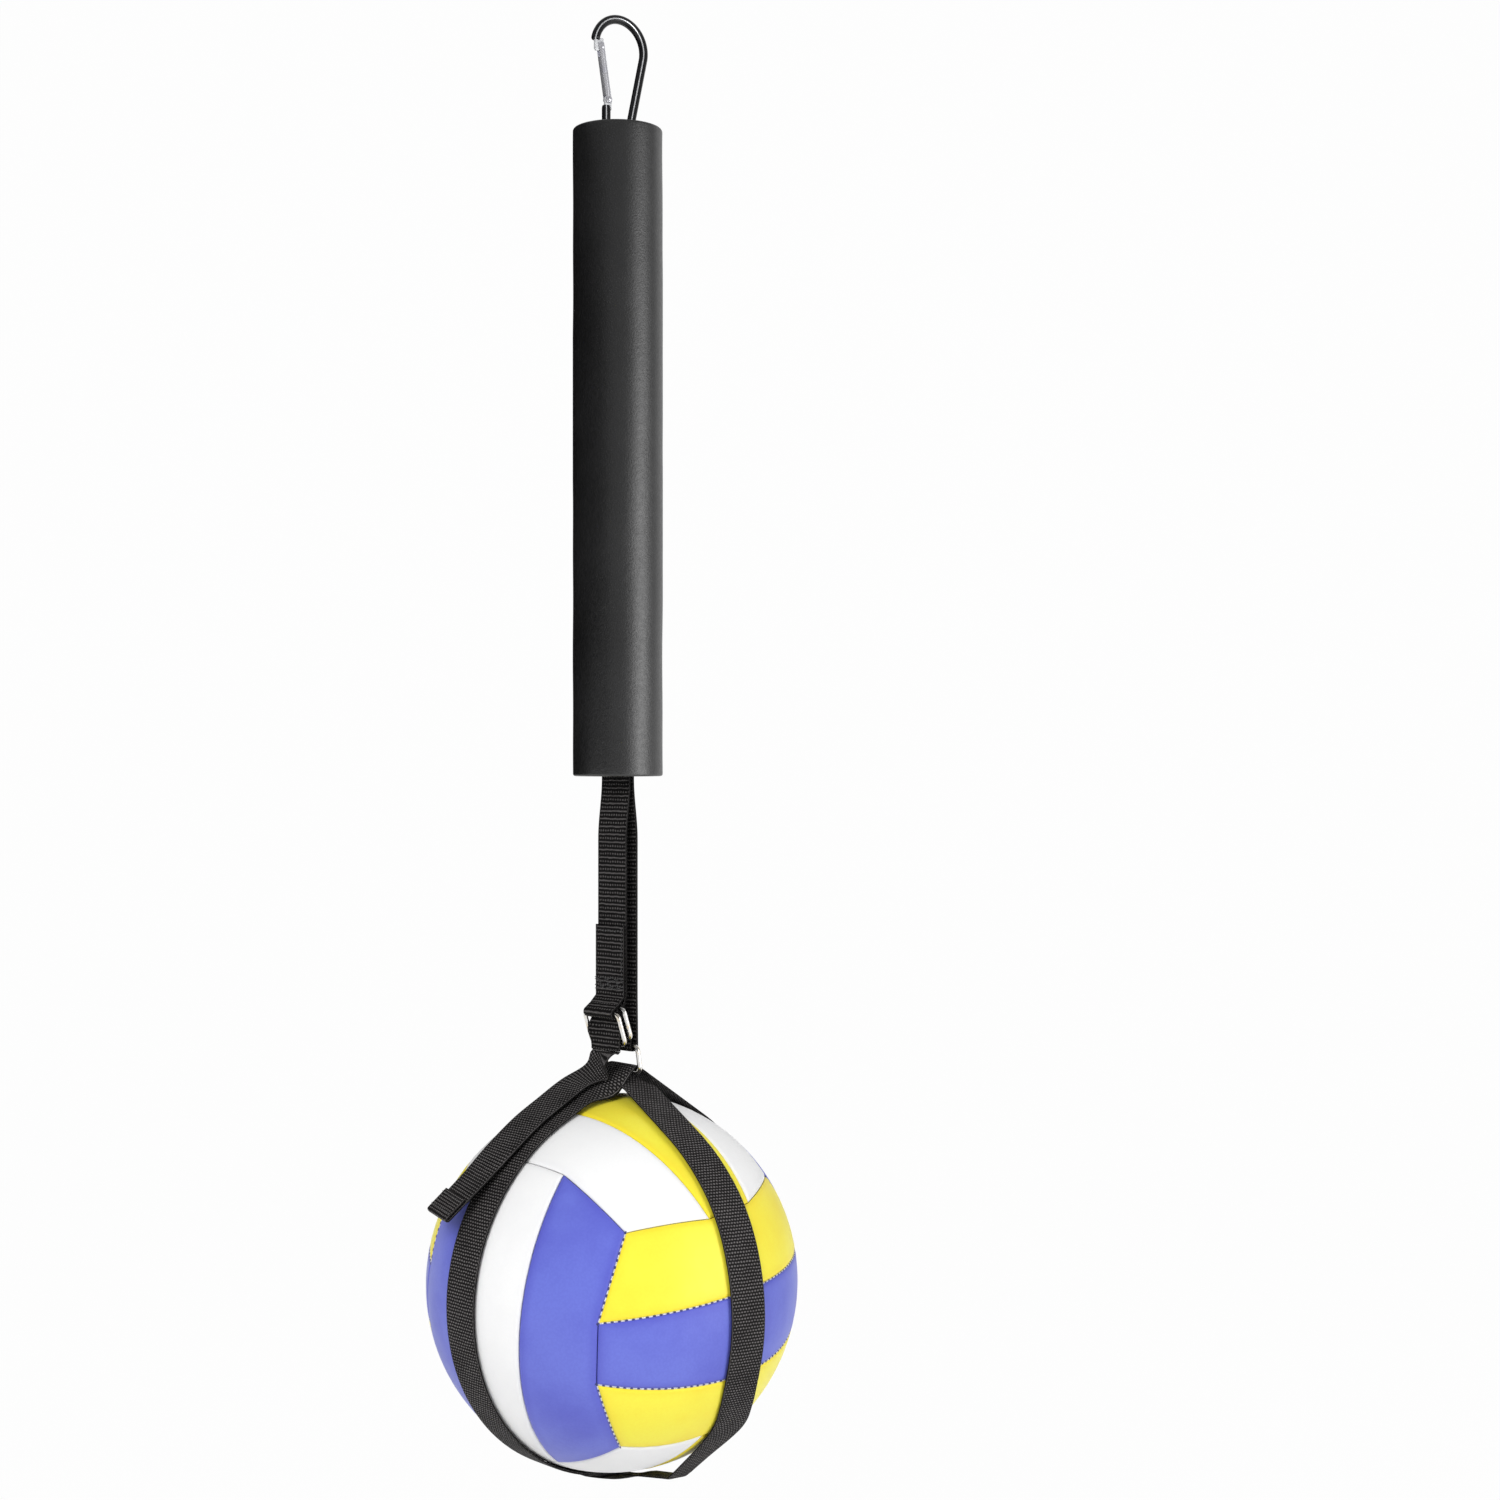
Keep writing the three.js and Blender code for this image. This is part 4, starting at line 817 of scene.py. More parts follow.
RING_HEIGHT = 14.5
RING_LEAN = 10 * DEGREE
WIRE_WRAP = BUCKLE_WIRE / 2 + CLEARANCE + WEBBING_HALF_THICKNESS
BAR_WRAP = RING_WIRE / 2 + CLEARANCE + WEBBING_HALF_THICKNESS


def hung(bar, height, lean):
    """The place under a bar, in the buckle's plane, where a ring of that height ends."""
    return (bar[0] - math.sin(lean) * height, bar[1] - math.cos(lean) * height)


INNER_ARC = hung(INNER_BAR, BUCKLE_HEIGHT, BUCKLE_LEAN)
OUTER_ARC = hung(OUTER_BAR, BUCKLE_HEIGHT, BUCKLE_LEAN)
FOLD_SHARE = 0.42
FOLD = hung(INNER_BAR, BUCKLE_HEIGHT * FOLD_SHARE, BUCKLE_LEAN)
RING_DROP_SHARE = 1.35
RING_DROP = (WIRE_WRAP + BAR_WRAP) * RING_DROP_SHARE
DROP_ANGLE = 47.5 * DEGREE
UPPER_BAR = (INNER_ARC[0] - RING_DROP * math.cos(DROP_ANGLE), INNER_ARC[1] - RING_DROP * math.sin(DROP_ANGLE))
LOWER_BAR = hung(UPPER_BAR, RING_HEIGHT, RING_LEAN)


def buckle_point(place, side=0.0):
    """A place of the buckle's plane: out from the strap's face and up, and to the side along its width."""
    return FACE_DIRECTION * place[0] + UP * place[1] + WIDTH_DIRECTION * side


def strap_turn(z):
    """The turn of the doubled strap, which twists inside the sleeve from the hook's plane to the buckle's."""
    low = MOUTH_Z + TWIST_END_RISE
    high = FOOT_Z - TWIST_TOP_DROP
    return mix(CARABINER_AZIMUTH, -STRAP_AZIMUTH, smooth((z - high) / (low - high)))


def strap_offset(z):
    """How far a layer of the doubled strap lies from the middle between the two."""
    if z > MOUTH_Z:
        inside = mix(WRAP_RADIUS, SLEEVE_OFFSET, smooth((FOOT_Z - z) / BUNCH_LENGTH))
        near = smooth((MOUTH_Z + MOUTH_LENGTH - z) / (MOUTH_LENGTH - WEBBING_THICKNESS))
        return mix(inside, MOUTH_OFFSET, near)
    return mix(MOUTH_OFFSET, LOW_OFFSET, smooth((MOUTH_Z - WEBBING_THICKNESS - z) / MOUTH_LENGTH))


def strap_directions(turn):
    """The directions of the doubled strap's width and of its face at a turn."""
    return Vector((math.cos(turn), math.sin(turn), 0)), Vector((math.sin(turn), -math.cos(turn), 0))


def layer_station(side, z):
    across, out = strap_directions(strap_turn(z))
    bunch = 1 - smooth((FOOT_Z - z) / BUNCH_LENGTH)
    return Station(UP * z + out * (side * strap_offset(z)), across, out * side,
                   mix(WEBBING_HALF_WIDTH, BUNCH_HALF_WIDTH, bunch),
                   mix(WEBBING_HALF_THICKNESS, BUNCH_HALF_THICKNESS, bunch), bunch)


def foot_wrap():
    """The bunched strap on its way over the hook's foot."""
    across, face = strap_directions(CARABINER_AZIMUTH)
    steps = 24
    row = []
    for i in range(1, steps):
        angle = math.pi * i / steps
        out = face * math.cos(angle) + UP * math.sin(angle)
        row.append(Station(UP * FOOT_Z + out * WRAP_RADIUS, across, out, BUNCH_HALF_WIDTH,
                           BUNCH_HALF_THICKNESS, 1.0))
    return row


def tangent_line(first, second):
    """Where a belt leaves the first circle and meets the second."""
    dx = second[0] - first[0]
    dz = second[1] - first[1]
    a = first[2] * first[3]
    b = second[2] * second[3]
    along = math.atan2(dz, dx) + math.asin((a - b) / math.hypot(dx, dz))
    side = (math.sin(along), -math.cos(along))
    leave = (first[0] + side[0] * a, first[1] + side[1] * a)
    return leave, (second[0] + side[0] * b, second[1] + side[1] * b)


def belt(circles, step=7 * DEGREE):
    """Points of a belt round circles, each a middle, a radius and a turn.

    A turn is 1 for anticlockwise, -1 for clockwise and 0 for a bare point.
    """
    touches = [tangent_line(a, b) for a, b in zip(circles, circles[1:])]
    points = [touches[0][0]]
    for i, (n, z, radius, turn) in enumerate(circles[1:-1], 1):
        begin = touches[i - 1][1]
        end = touches[i][0]
        if turn == 0:
            points.append(begin)
            continue
        start = math.atan2(begin[1] - z, begin[0] - n)
        sweep = math.atan2(end[1] - z, end[0] - n) - start
        while sweep * turn < 0:
            sweep += 2 * math.pi * turn
        steps = max(1, math.ceil(abs(sweep) / step))
        for k in range(steps + 1):
            angle = start + sweep * k / steps
            points.append((n + radius * math.cos(angle), z + radius * math.sin(angle)))
    points.append(touches[-1][1])
    return points


def divide(points, longest):
    """Adds points, so that no step is longer than that."""
    row = [points[0]]
    for a, b in zip(points, points[1:]):
        steps = max(1, math.ceil(math.hypot(b[0] - a[0], b[1] - a[1]) / longest))
        row += [(mix(a[0], b[0], k / steps), mix(a[1], b[1], k / steps)) for k in range(1, steps + 1)]
    return row


def buckle_stations(points):
    """The stations of a strap whose middle follows points of the buckle's plane."""
    row = []
    for i, point in enumerate(points):
        before = points[max(i - 1, 0)]
        after = points[min(i + 1, len(points) - 1)]
        length = math.hypot(after[0] - before[0], after[1] - before[1])
        tn, tz = (after[0] - before[0]) / length, (after[1] - before[1]) / length
        row.append(Station(buckle_point(point), WIDTH_DIRECTION, FACE_DIRECTION * tz - UP * tn))
    return row


SEWN_END_DROP = 1.2


def eye_route():
    """The sewn end: down outside, round the two bars of the buckle and up inside."""
    return belt([(SEWN_OFFSET, SEWN_TOP, 0, 0), (SEWN_OFFSET, EYE_START - SEWN_END_DROP, 0, 0),
                 (*INNER_BAR, WIRE_WRAP, -1), (*OUTER_BAR, WIRE_WRAP, -1), (*INNER_BAR, WIRE_WRAP, -1),
                 (LOW_OFFSET, EYE_START, 0, 0), (LOW_OFFSET, LOWEST, 0, 0)])


def cinch_route():
    """The long layer: down behind, through the harness ring and up, and back over itself round the buckle."""
    leave = (OUTER_ARC[0] + WIRE_WRAP, OUTER_ARC[1] - WIRE_WRAP - WEBBING_THICKNESS)
    return belt([(-LOW_OFFSET, LOWEST, 0, 0), (-LOW_OFFSET, EYE_START, 0, 0), (*UPPER_BAR, BAR_WRAP, 1),
                 (*INNER_ARC, WIRE_WRAP, -1), (*FOLD, WIRE_WRAP, -1), (*OUTER_ARC, WIRE_WRAP, -1),
                 (*leave, 0, 0)])


# The left edge of the strap's outer fold stands off, most at its middle
FOLD_BOW = 3.6
FOLD_FACE = 6
FOLD_MIDDLE_Z = -570
FOLD_REACH = 9
BUCKLE_STEP = 3


def strap_stations():
    """The whole hanging strap, from its sewn end over the hook's foot to the end of its cinch."""
    eye = buckle_stations(divide(eye_route(), BUCKLE_STEP))
    cinch = buckle_stations(divide(cinch_route(), BUCKLE_STEP))
    for station in cinch:
        if station.point.dot(FACE_DIRECTION) > FOLD_FACE:
            bow = FOLD_BOW * (1 - smooth(abs(station.point.z - FOLD_MIDDLE_Z) / FOLD_REACH))
            station.edge = (bow * (1 if station.out.dot(FACE_DIRECTION) > 0 else -1), 0.0)
    levels = [FOOT_Z] + steps_to(FOOT_Z, FOOT_Z - BUNCH_LENGTH, 14)
    levels += steps_to(FOOT_Z - BUNCH_LENGTH, MOUTH_Z + MOUTH_LENGTH, 60)
    levels += steps_to(MOUTH_Z + MOUTH_LENGTH, LOWEST, 30)
    front = [layer_station(1, z) for z in levels]
    rear = [layer_station(-1, z) for z in levels]
    return eye[:-1] + front[::-1] + foot_wrap() + rear + cinch[1:]


THREAD_LIFT = 0.12
SEWN_CROSS_ROWS = (-541.2, -543.0, -545.1, -546.6)
SEWN_CROSS_REACH = 11.4
SEWN_SIDE = 10.6
SEWN_SIDE_TOP = -513.5
SEWN_SIDE_END = -541
SEWN_TOP_ROW = -514.2


def sewn_rows():
    """Rows of stitches on the sewn end: uneven ones across it, one down each side and one along its top."""
    face = SEWN_OFFSET + WEBBING_HALF_THICKNESS + THREAD_LIFT
    paths = []
    for row, z in enumerate(SEWN_CROSS_ROWS):
        paths.append([buckle_point((face, z + 0.7 * math.sin(k * 2.3 + row * 1.7)),
                                   mix(-SEWN_CROSS_REACH, SEWN_CROSS_REACH, k / 22)) for k in range(23)])
    for side in (-SEWN_SIDE, SEWN_SIDE):
        paths.append([buckle_point((face, mix(SEWN_SIDE_TOP, SEWN_SIDE_END, k / 12)),
                                   side + 0.2 * math.sin(k * 1.9)) for k in range(13)])
    paths.append([buckle_point((face, SEWN_TOP_ROW + 0.25 * math.sin(k * 1.3)),
                               mix(-SEWN_SIDE, SEWN_SIDE, k / 12)) for k in range(13)])
    return paths


# The free end: places as shares of the ball's radius from its centre, each with the direction of its width
TAIL_SHARES = (
    ((-0.085, -0.040, 1.137), (0.695, -0.719, -0.018)),
    ((-0.203, -0.085, 1.072), (0.695, -0.719, -0.018)),
    ((-0.315, -0.186, 0.991), (0.695, -0.719, -0.018)),
    ((-0.434, -0.308, 0.901), (0.695, -0.719, -0.018)),
    ((-0.561, -0.429, 0.776), (0.695, -0.719, -0.018)),
    ((-0.686, -0.506, 0.640), (0.665, -0.746, 0.013)),
    ((-0.858, -0.591, 0.462), (0.633, -0.774, 0.019)),
)
TAIL_NECK = Vector((-8.6, -7.2, -585.4))
TAIL_NECK_WIDTH = Vector((0.3, -0.95, 0))
TAIL_STEPS = 9
# The hem folded back over the free end's tip: its steps, and its sizes in millimetres
HEM_TURN_STEPS = 6
HEM_STEPS = 5
HEM_LENGTH = 14
HEM_LIFT = WEBBING_THICKNESS + CLEARANCE
HEM_ROWS = (3.0, 11.5)
HEM_ROW_REACH = 11


def tail_stations():
    """The free end, from the buckle over the upper left of the ball to the fold of its hem."""
    cinch = buckle_stations(cinch_route())
    start = cinch[-1].point
    leave = (start - cinch[-2].point).normalized()
    places = [start + leave * CLEARANCE, TAIL_NECK]
    widths = [WIDTH_DIRECTION, TAIL_NECK_WIDTH]
    for at, across in TAIL_SHARES:
        places.append(Vector(at) * BALL_RADIUS + BALL_CENTRE)
        widths.append(Vector(across).normalized())
    points = catmull(places, TAIL_STEPS)
    turns = catmull(widths, TAIL_STEPS)
    row = []
    for i, (point, width) in enumerate(zip(points, turns)):
        before = points[max(i - 1, 0)]
        after = points[min(i + 1, len(points) - 1)]
        tangent = leave if i == 0 else (after - before).normalized()
        out = tangent.cross(width).normalized()
        row.append(Station(point, out.cross(tangent).normalized(), out))
    return row


def hem_stations(tip, along):
    """The hem, folded back over the free end's tip."""
    row = []
    for angle in steps_to(0, math.pi, HEM_TURN_STEPS):
        out = tip.out * math.cos(angle) - along * math.sin(angle)
        point = tip.point + tip.out * (HEM_LIFT / 2 * (1 - math.cos(angle)))
        row.append(Station(point + along * (HEM_LIFT / 2 * math.sin(angle)), tip.across, out))
    for back in steps_to(0, HEM_LENGTH, HEM_STEPS):
        row.append(Station(tip.point + tip.out * HEM_LIFT - along * back, tip.across, -tip.out))
    return row


def hem_rows(tip, along):
    """Two rows of stitches across the hem."""
    face = tip.point + tip.out * (HEM_LIFT + WEBBING_HALF_THICKNESS + THREAD_LIFT)
    return [[face - along * back + tip.across * mix(-HEM_ROW_REACH, HEM_ROW_REACH, k / 10) for k in range(11)]
            for back in HEM_ROWS]


# Harness loops

# The loops lie as far off the ball as rows of straight pieces with this turn each
LOOP_STEP = 6 * DEGREE
BELT_RADIUS = (BALL_RADIUS + CLEARANCE) / math.cos(LOOP_STEP / 2) + WEBBING_HALF_THICKNESS
LAYER_GAP = 0.35
UPPER_AZIMUTH = 47 * DEGREE
UPPER_CURL = -6.5
UPPER_CURL_MIDDLE = 18
UPPER_CURL_REACH = 17
CROSS_AZIMUTH = 44 * DEGREE
CROSS_APEX_RADIUS = 10.0
CROSS_CROWN = 5.8
CROSS_CROWN_REACH = 16
CROSS_DRIFT = 5.5
LAYER_REACH = 15 * DEGREE
BRIDGE_MIDDLE = 27 * DEGREE
BRIDGE_REACH = 20 * DEGREE
GATHER_SLIP_SHARE = 0.8
TOP_STEPS = 18
ARM_STEPS = 14
ROUND_STEPS = 150
# Along the front arm of the cross strap, from below: degrees, sideways slip and gathering, in millimetres
SLIPS = [Vector(at) for at in (
    (0, 0, 0), (10, 0.4, 3.2), (24, 2, 5), (35, 6, 3.8), (45, 11.5, 1.2), (52, 12.4, 0), (60, 9, 0),
    (71, 5.6, 0), (90, 4.8, 0), (118, 5.1, 0), (135, 3, 0), (150, 0, 0))]


def nowhere(place):
    """No crown, curl, bulge, drift or gathering at any place."""
    return 0.0


def harness_stations(apex, apex_radius, direction, crown_at=nowhere, curl_at=nowhere, bulge_at=nowhere,
                     drift_at=nowhere, gather_at=nowhere):
    """A loop of webbing round the ball and, at its top, round a small circle.

    By its place along direction near the top, crown lowers both edges and curl lifts the right one. By its
    angle from below, bulge lifts the loop off the ball, drift moves it sideways and gather narrows it.
    """
    axis = apex - BALL_CENTRE
    distance = axis.length
    axis.normalize()
    side = (direction - axis * direction.dot(axis)).normalized()
    across = axis.cross(side).normalized()
    lean = math.acos((BELT_RADIUS - apex_radius) / distance)
    row = []

    def push(x, y, angle, drift=0.0, gather=0.0):
        out = side * math.sin(angle) + axis * math.cos(angle)
        near_top = y > BELT_RADIUS / 2
        row.append(Station(BALL_CENTRE + side * x + axis * y + across * drift, across, out,
                           WEBBING_HALF_WIDTH - gather, crown=crown_at(x) if near_top else 0.0,
                           edge=(0.0, curl_at(x) if near_top else 0.0)))

    def arm(sign, share):
        angle = lean * sign
        push(mix(apex_radius, BELT_RADIUS, share) * math.sin(angle),
             mix(distance + apex_radius * math.cos(angle), BELT_RADIUS * math.cos(angle), share),
             angle, share * drift_at(math.pi * sign - angle))

    for i in range(TOP_STEPS + 1):
        angle = mix(-lean, lean, i / TOP_STEPS)
        push(apex_radius * math.sin(angle), distance + apex_radius * math.cos(angle), angle)
    for i in range(1, ARM_STEPS):
        arm(1, i / ARM_STEPS)
    for i in range(ROUND_STEPS + 1):
        angle = lean + 2 * (math.pi - lean) * i / ROUND_STEPS
        radius = BELT_RADIUS + bulge_at(math.pi - angle)
        push(radius * math.sin(angle), radius * math.cos(angle), angle, drift_at(math.pi - angle),
             gather_at(math.pi - angle))
    for i in range(ARM_STEPS - 1, 0, -1):
        arm(-1, i / ARM_STEPS)
    return row


def upper_loop():
    """The loop over the ring's lower bar, whose edge curls down beside the other loop."""
    direction = Vector((-math.sin(UPPER_AZIMUTH), -math.cos(UPPER_AZIMUTH), 0))

    def curl(x):
        return UPPER_CURL * (1 - smooth(abs(x - UPPER_CURL_MIDDLE) / UPPER_CURL_REACH))

    return harness_stations(buckle_point(LOWER_BAR), BAR_WRAP + LAYER_GAP, direction, curl_at=curl)


def between(table, at):
    """The values of a table at one place, along a smooth curve through its rows; none outside the table."""
    if not table[0][0] < at < table[-1][0]:
        return 0.0, 0.0
    row = catmull(table, 8)
    for a, b in zip(row, row[1:]):
        if a[0] <= at <= b[0]:
            share = (at - a[0]) / (b[0] - a[0])
            return mix(a[1], b[1], share), max(mix(a[2], b[2], share), 0.0)
    return 0.0, 0.0


def cross_loop():
    """The loop under the first at the top and over it below the ball, slipped and gathered at its front."""
    direction = Vector((math.sin(CROSS_AZIMUTH), -math.cos(CROSS_AZIMUTH), 0))
    apex = buckle_point(LOWER_BAR) - UP * (BAR_WRAP + CLEARANCE + CROSS_APEX_RADIUS)
    lift = WEBBING_THICKNESS + LAYER_GAP + WEBBING_HALF_WIDTH ** 2 / (2 * BELT_RADIUS)

    def crown(x):
        return CROSS_CROWN * (1 - smooth(abs(x) / CROSS_CROWN_REACH))

    def bulge(angle):
        level = lift * (1 - smooth((abs(angle) - LAYER_REACH / 2) / LAYER_REACH))
        reach = max(BRIDGE_REACH - abs(angle - BRIDGE_MIDDLE), 0)
        return max(level, BELT_RADIUS * (1 / math.cos(reach) - 1))

    def drift(angle):
        slip, gathered = between(SLIPS, angle / DEGREE)
        return CROSS_DRIFT * math.sin(2 * angle) + slip + gathered * GATHER_SLIP_SHARE

    def gather(angle):
        return between(SLIPS, angle / DEGREE)[1]

    return harness_stations(apex, CROSS_APEX_RADIUS, direction, crown_at=crown, bulge_at=bulge,
                            drift_at=drift, gather_at=gather)


# Ball cover

BALL_YAW = 7 * DEGREE
BALL_PITCH = 9.6 * DEGREE
BALL_ROLL = 0.7 * DEGREE
STRIP_END = 53.1 * DEGREE
STRIP_CROSS = 9.3 * DEGREE
SEAM_CROSS = 13 * DEGREE
PANEL_GAP = 0.2
# Rows of points near a panel's edge, in millimetres from it
EDGE_ROWS = (0, 0.25, 0.55, 0.95, 1.5, 2.2, 3.2)
PANEL_LONG_STEPS = 30
PANEL_CROSS_STEPS = 12
EDGE_FALL_POWER = 2.4
EDGE_SHADE_REACH = 7.0
SEAM_STEPS = 40
BORDER_STEPS = 16
BORDER_END = 0.99999
BEYOND = {"left": "right", "right": "top", "top": "left"}


def opposite(name):
    return "bottom" if name == "top" else name + "_opposite"


def ball_faces():
    """The six faces of the cover: normal, directions along and across the strips, and the strips' colours."""
    turn = (Matrix.Rotation(BALL_YAW, 3, "Z") @ Matrix.Rotation(BALL_PITCH, 3, "X")
            @ Matrix.Rotation(BALL_ROLL, 3, "Y"))
    half = math.sqrt(0.5)
    left, right, top = turn @ Vector((-half, -half, 0)), turn @ Vector((half, -half, 0)), turn @ UP
    shown = (("left", left, top, right, ("blue", "white", "blue")),
             ("right", right, left, top, ("yellow", "blue", "yellow")),
             ("top", top, right, left, ("white", "yellow", "white")))
    faces = {}
    for name, normal, along, across, strips in shown:
        faces[name] = (normal, along, across, strips)
        faces[opposite(name)] = (-normal, along, across, strips)
    return faces


def arc(a, b, share):
    """A direction at a share of the way from one to another."""
    angle = a.angle(b)
    return (a * math.sin((1 - share) * angle) + b * math.sin(share * angle)).normalized()


def face_direction(normal, along, across, a, c):
    """The direction at an angle a along a face and c across it."""
    return normal * (math.cos(a) * math.cos(c)) + along * (math.sin(a) * math.cos(c)) + across * math.sin(c)


def inner_seam(face, sign):
    """The seam between two strips of a face, as a function from shares of its length to directions."""
    normal, along, across, strips = face

    def at(share):
        a = mix(-STRIP_END, STRIP_END, share)
        c = sign * mix(SEAM_CROSS, STRIP_CROSS, (a / STRIP_END) ** 2)
        return face_direction(normal, along, across, a, c)
    return at


def outer_seam(face, sign):
    """The long border of a face, in three parts past the ends of the next face's strips."""
    normal, along, across, strips = face
    side = across * sign
    corners = [(normal - along + side).normalized(),
               face_direction(side, normal, along, STRIP_END, -STRIP_CROSS),
               face_direction(side, normal, along, STRIP_END, STRIP_CROSS),
               (normal + along + side).normalized()]

    def at(share):
        k = min(int(share * 3), 2)
        return arc(corners[k], corners[k + 1], share * 3 - k)
    return at


def patch(low, high, u, v):
    """The direction at shares u and v of a strip between two seams, with straight ends."""
    start, end = arc(low(0), high(0), v), arc(low(1), high(1), v)
    point = low(u) * (1 - v) + high(u) * v + start * (1 - u) + end * u
    point = point - low(0) * (1 - u) * (1 - v) - high(0) * (1 - u) * v
    return (point - low(1) * u * (1 - v) - high(1) * u * v).normalized()


def panel_shares(length, steps):
    """Shares of a panel's length or width: close together at the rounded edges and even between."""
    near = [(PANEL_GAP + place) / length for place in EDGE_ROWS]
    return near + steps_to(near[-1], 1 - near[-1], steps)[:-1] + [1 - share for share in reversed(near)]


def cover_panel(name, low, high, drop, reach):
    """A crowned shell of one panel, whose rounded edges dip into the seams."""
    length = low(0).angle(low(1)) * BALL_RADIUS
    width = low(0.5).angle(high(0.5)) * BALL_RADIUS
    us = panel_shares(length, PANEL_LONG_STEPS)
    vs = panel_shares(width, PANEL_CROSS_STEPS)
    outer, inner, edges = [], [], []
    for u in us:
        for v in vs:
            direction = patch(low, high, u, v)
            near = min(min(u, 1 - u) * length, min(v, 1 - v) * width) - PANEL_GAP
            fall = max(0.0, 1 - near / reach) ** EDGE_FALL_POWER
            outer.append(BALL_CENTRE + direction * (BALL_RADIUS - drop * fall))
            inner.append(BALL_CENTRE + direction * (BALL_RADIUS - COVER_THICKNESS))
            # Distance from the seams, as a share, for the painted shade that darkens the cover near them
            edges.append(min(1.0, near / EDGE_SHADE_REACH))
    rows, columns = len(us), len(vs)
    size = len(outer)
    faces = []
    for i in range(rows - 1):
        for j in range(columns - 1):
            a = i * columns + j
            faces.append((a, a + 1, a + columns + 1, a + columns))
            faces.append((size + a, size + a + columns, size + a + columns + 1, size + a + 1))
    rim = list(range(columns - 1)) + [i * columns + columns - 1 for i in range(rows - 1)]
    rim += [(rows - 1) * columns + j for j in range(columns - 1, 0, -1)]
    rim += [i * columns for i in range(rows - 1, 0, -1)]
    for a, b in zip(rim, rim[1:] + rim[:1]):
        faces.append((a, size + a, size + b, b))
    made = write_mesh(name, outer + inner, faces)
    edge = made.data.attributes.new("edge", "FLOAT", "POINT")
    edge.data.foreach_set("value", edges + [1.0] * size)
    turn_outwards(made)
    return made


def seam_paths(faces, colours):
    """Rows of directions along the seams between panels of those two colours."""
    found = []
    for name, (normal, along, across, strips) in faces.items():
        kind = "top" if name == "bottom" else name.replace("_opposite", "")
        for sign, pair in ((-1, strips[0:2]), (1, strips[1:3])):
            if set(pair) == set(colours):
                at = inner_seam(faces[name], sign)
                found.append([at(k / SEAM_STEPS) for k in range(SEAM_STEPS + 1)])
            own = strips[0] if sign < 0 else strips[2]
            beyond = BEYOND[kind] if sign > 0 else opposite(BEYOND[kind])
            at = outer_seam(faces[name], sign)
            for k, end in enumerate(faces[beyond][3]):
                if {own, end} == set(colours):
                    found.append([at((k + min(i / BORDER_STEPS, BORDER_END)) / 3)
                                  for i in range(BORDER_STEPS + 1)])
    return found


# Carabiner, drawn in its own plane: u across, v square to it, z up

HOOK_U = Vector((math.cos(CARABINER_AZIMUTH), math.sin(CARABINER_AZIMUTH), 0))
HOOK_V = Vector((-math.sin(CARABINER_AZIMUTH), math.cos(CARABINER_AZIMUTH), 0))
ROD_RADIUS = 2.5
HOOK_RADIUS = 16.75
HOOK_CENTRE = (1.1, ROD_RADIUS - HOOK_RADIUS)
FOOT_RADIUS = 8.0
FOOT_CENTRE = (0.0, -58.5)
NOSE_ANGLE = 170.5 * DEGREE
NOSE_Z = HOOK_CENTRE[1] + HOOK_RADIUS * math.sin(NOSE_ANGLE)
HEEL_DROP = 3.4
SECTION_TURN = -30 * DEGREE
# Sizes of the rod's last two sections at each end, which round it off
END_SIZES = {0: 0.86, 1: 0.97}
GROOVE_DEPTH = 0.7
GROOVE_EDGE = 0.3
PLATE_EDGE = 0.25
BLADE_THICKNESS = 1.6
BLADE_WIDTH = 5.8
BLADE_HEIGHT = 7.4
BLADE_TOP_RISE = 1.25
BLADE_REACH = 1.5
BLADE_CORNER = 1.2
NOTCH_RADIUS = 1.0
TAB_THICKNESS = 1.9
TAB_RADIUS = 2.1
TAB_DROP = 5.9
PIN_LENGTH = 5.0
GATE_PIVOT = (-7.0, -44.2)
GATE_TOP = (-12.2, -12.6)
GATE_LENGTH = math.hypot(GATE_TOP[0] - GATE_PIVOT[0], GATE_TOP[1] - GATE_PIVOT[1])
GATE_ALONG = ((GATE_TOP[0] - GATE_PIVOT[0]) / GATE_LENGTH, (GATE_TOP[1] - GATE_PIVOT[1]) / GATE_LENGTH)
GATE_RADIUS = 2.35
# The softened ends of the gate's tube: places along it from its pivot or its tip, and out from its radius
GATE_HEEL = ((-1.9, -0.5), (-1.75, -0.2), (-1.4, 0.0))
GATE_TIP = ((-0.7, 0.0), (-0.25, -0.15), (0.0, -0.6))
GATE_BORE = 1.55
GATE_BORE_END = 18.0
SLOT_DEPTH = 8.2
SLOT_WIDTH = 2.3
FORK_TOP = 2.4
FORK_WIDTH = 2.5
CUTTER_REACH = 6.0
PIN_REACH = GATE_LENGTH - 2.9
PIN_PLACE = (GATE_PIVOT[0] + GATE_ALONG[0] * PIN_REACH, GATE_PIVOT[1] + GATE_ALONG[1] * PIN_REACH)
PLUNGER = [(2.4, 0.9), (2.5, 1.15), (2.7, 1.25), (6.2, 1.25), (6.4, 1.1)]
SPRING_START = 6.9
SPRING_LENGTH = 10
SPRING_TURNS = 7
SPRING_TURN_STEPS = 24
SPRING_RADIUS = 1.05


def hook_point(u, v, z):
    return HOOK_U * u + HOOK_V * v + UP * z


def gate_point(reach, side=0.0, v=0.0):
    """A place on the gate: along it from its pivot, across it in the hook's plane, and square to both."""
    u = GATE_PIVOT[0] + GATE_ALONG[0] * reach + GATE_ALONG[1] * side
    z = GATE_PIVOT[1] + GATE_ALONG[1] * reach - GATE_ALONG[0] * side
    return hook_point(u, v, z)


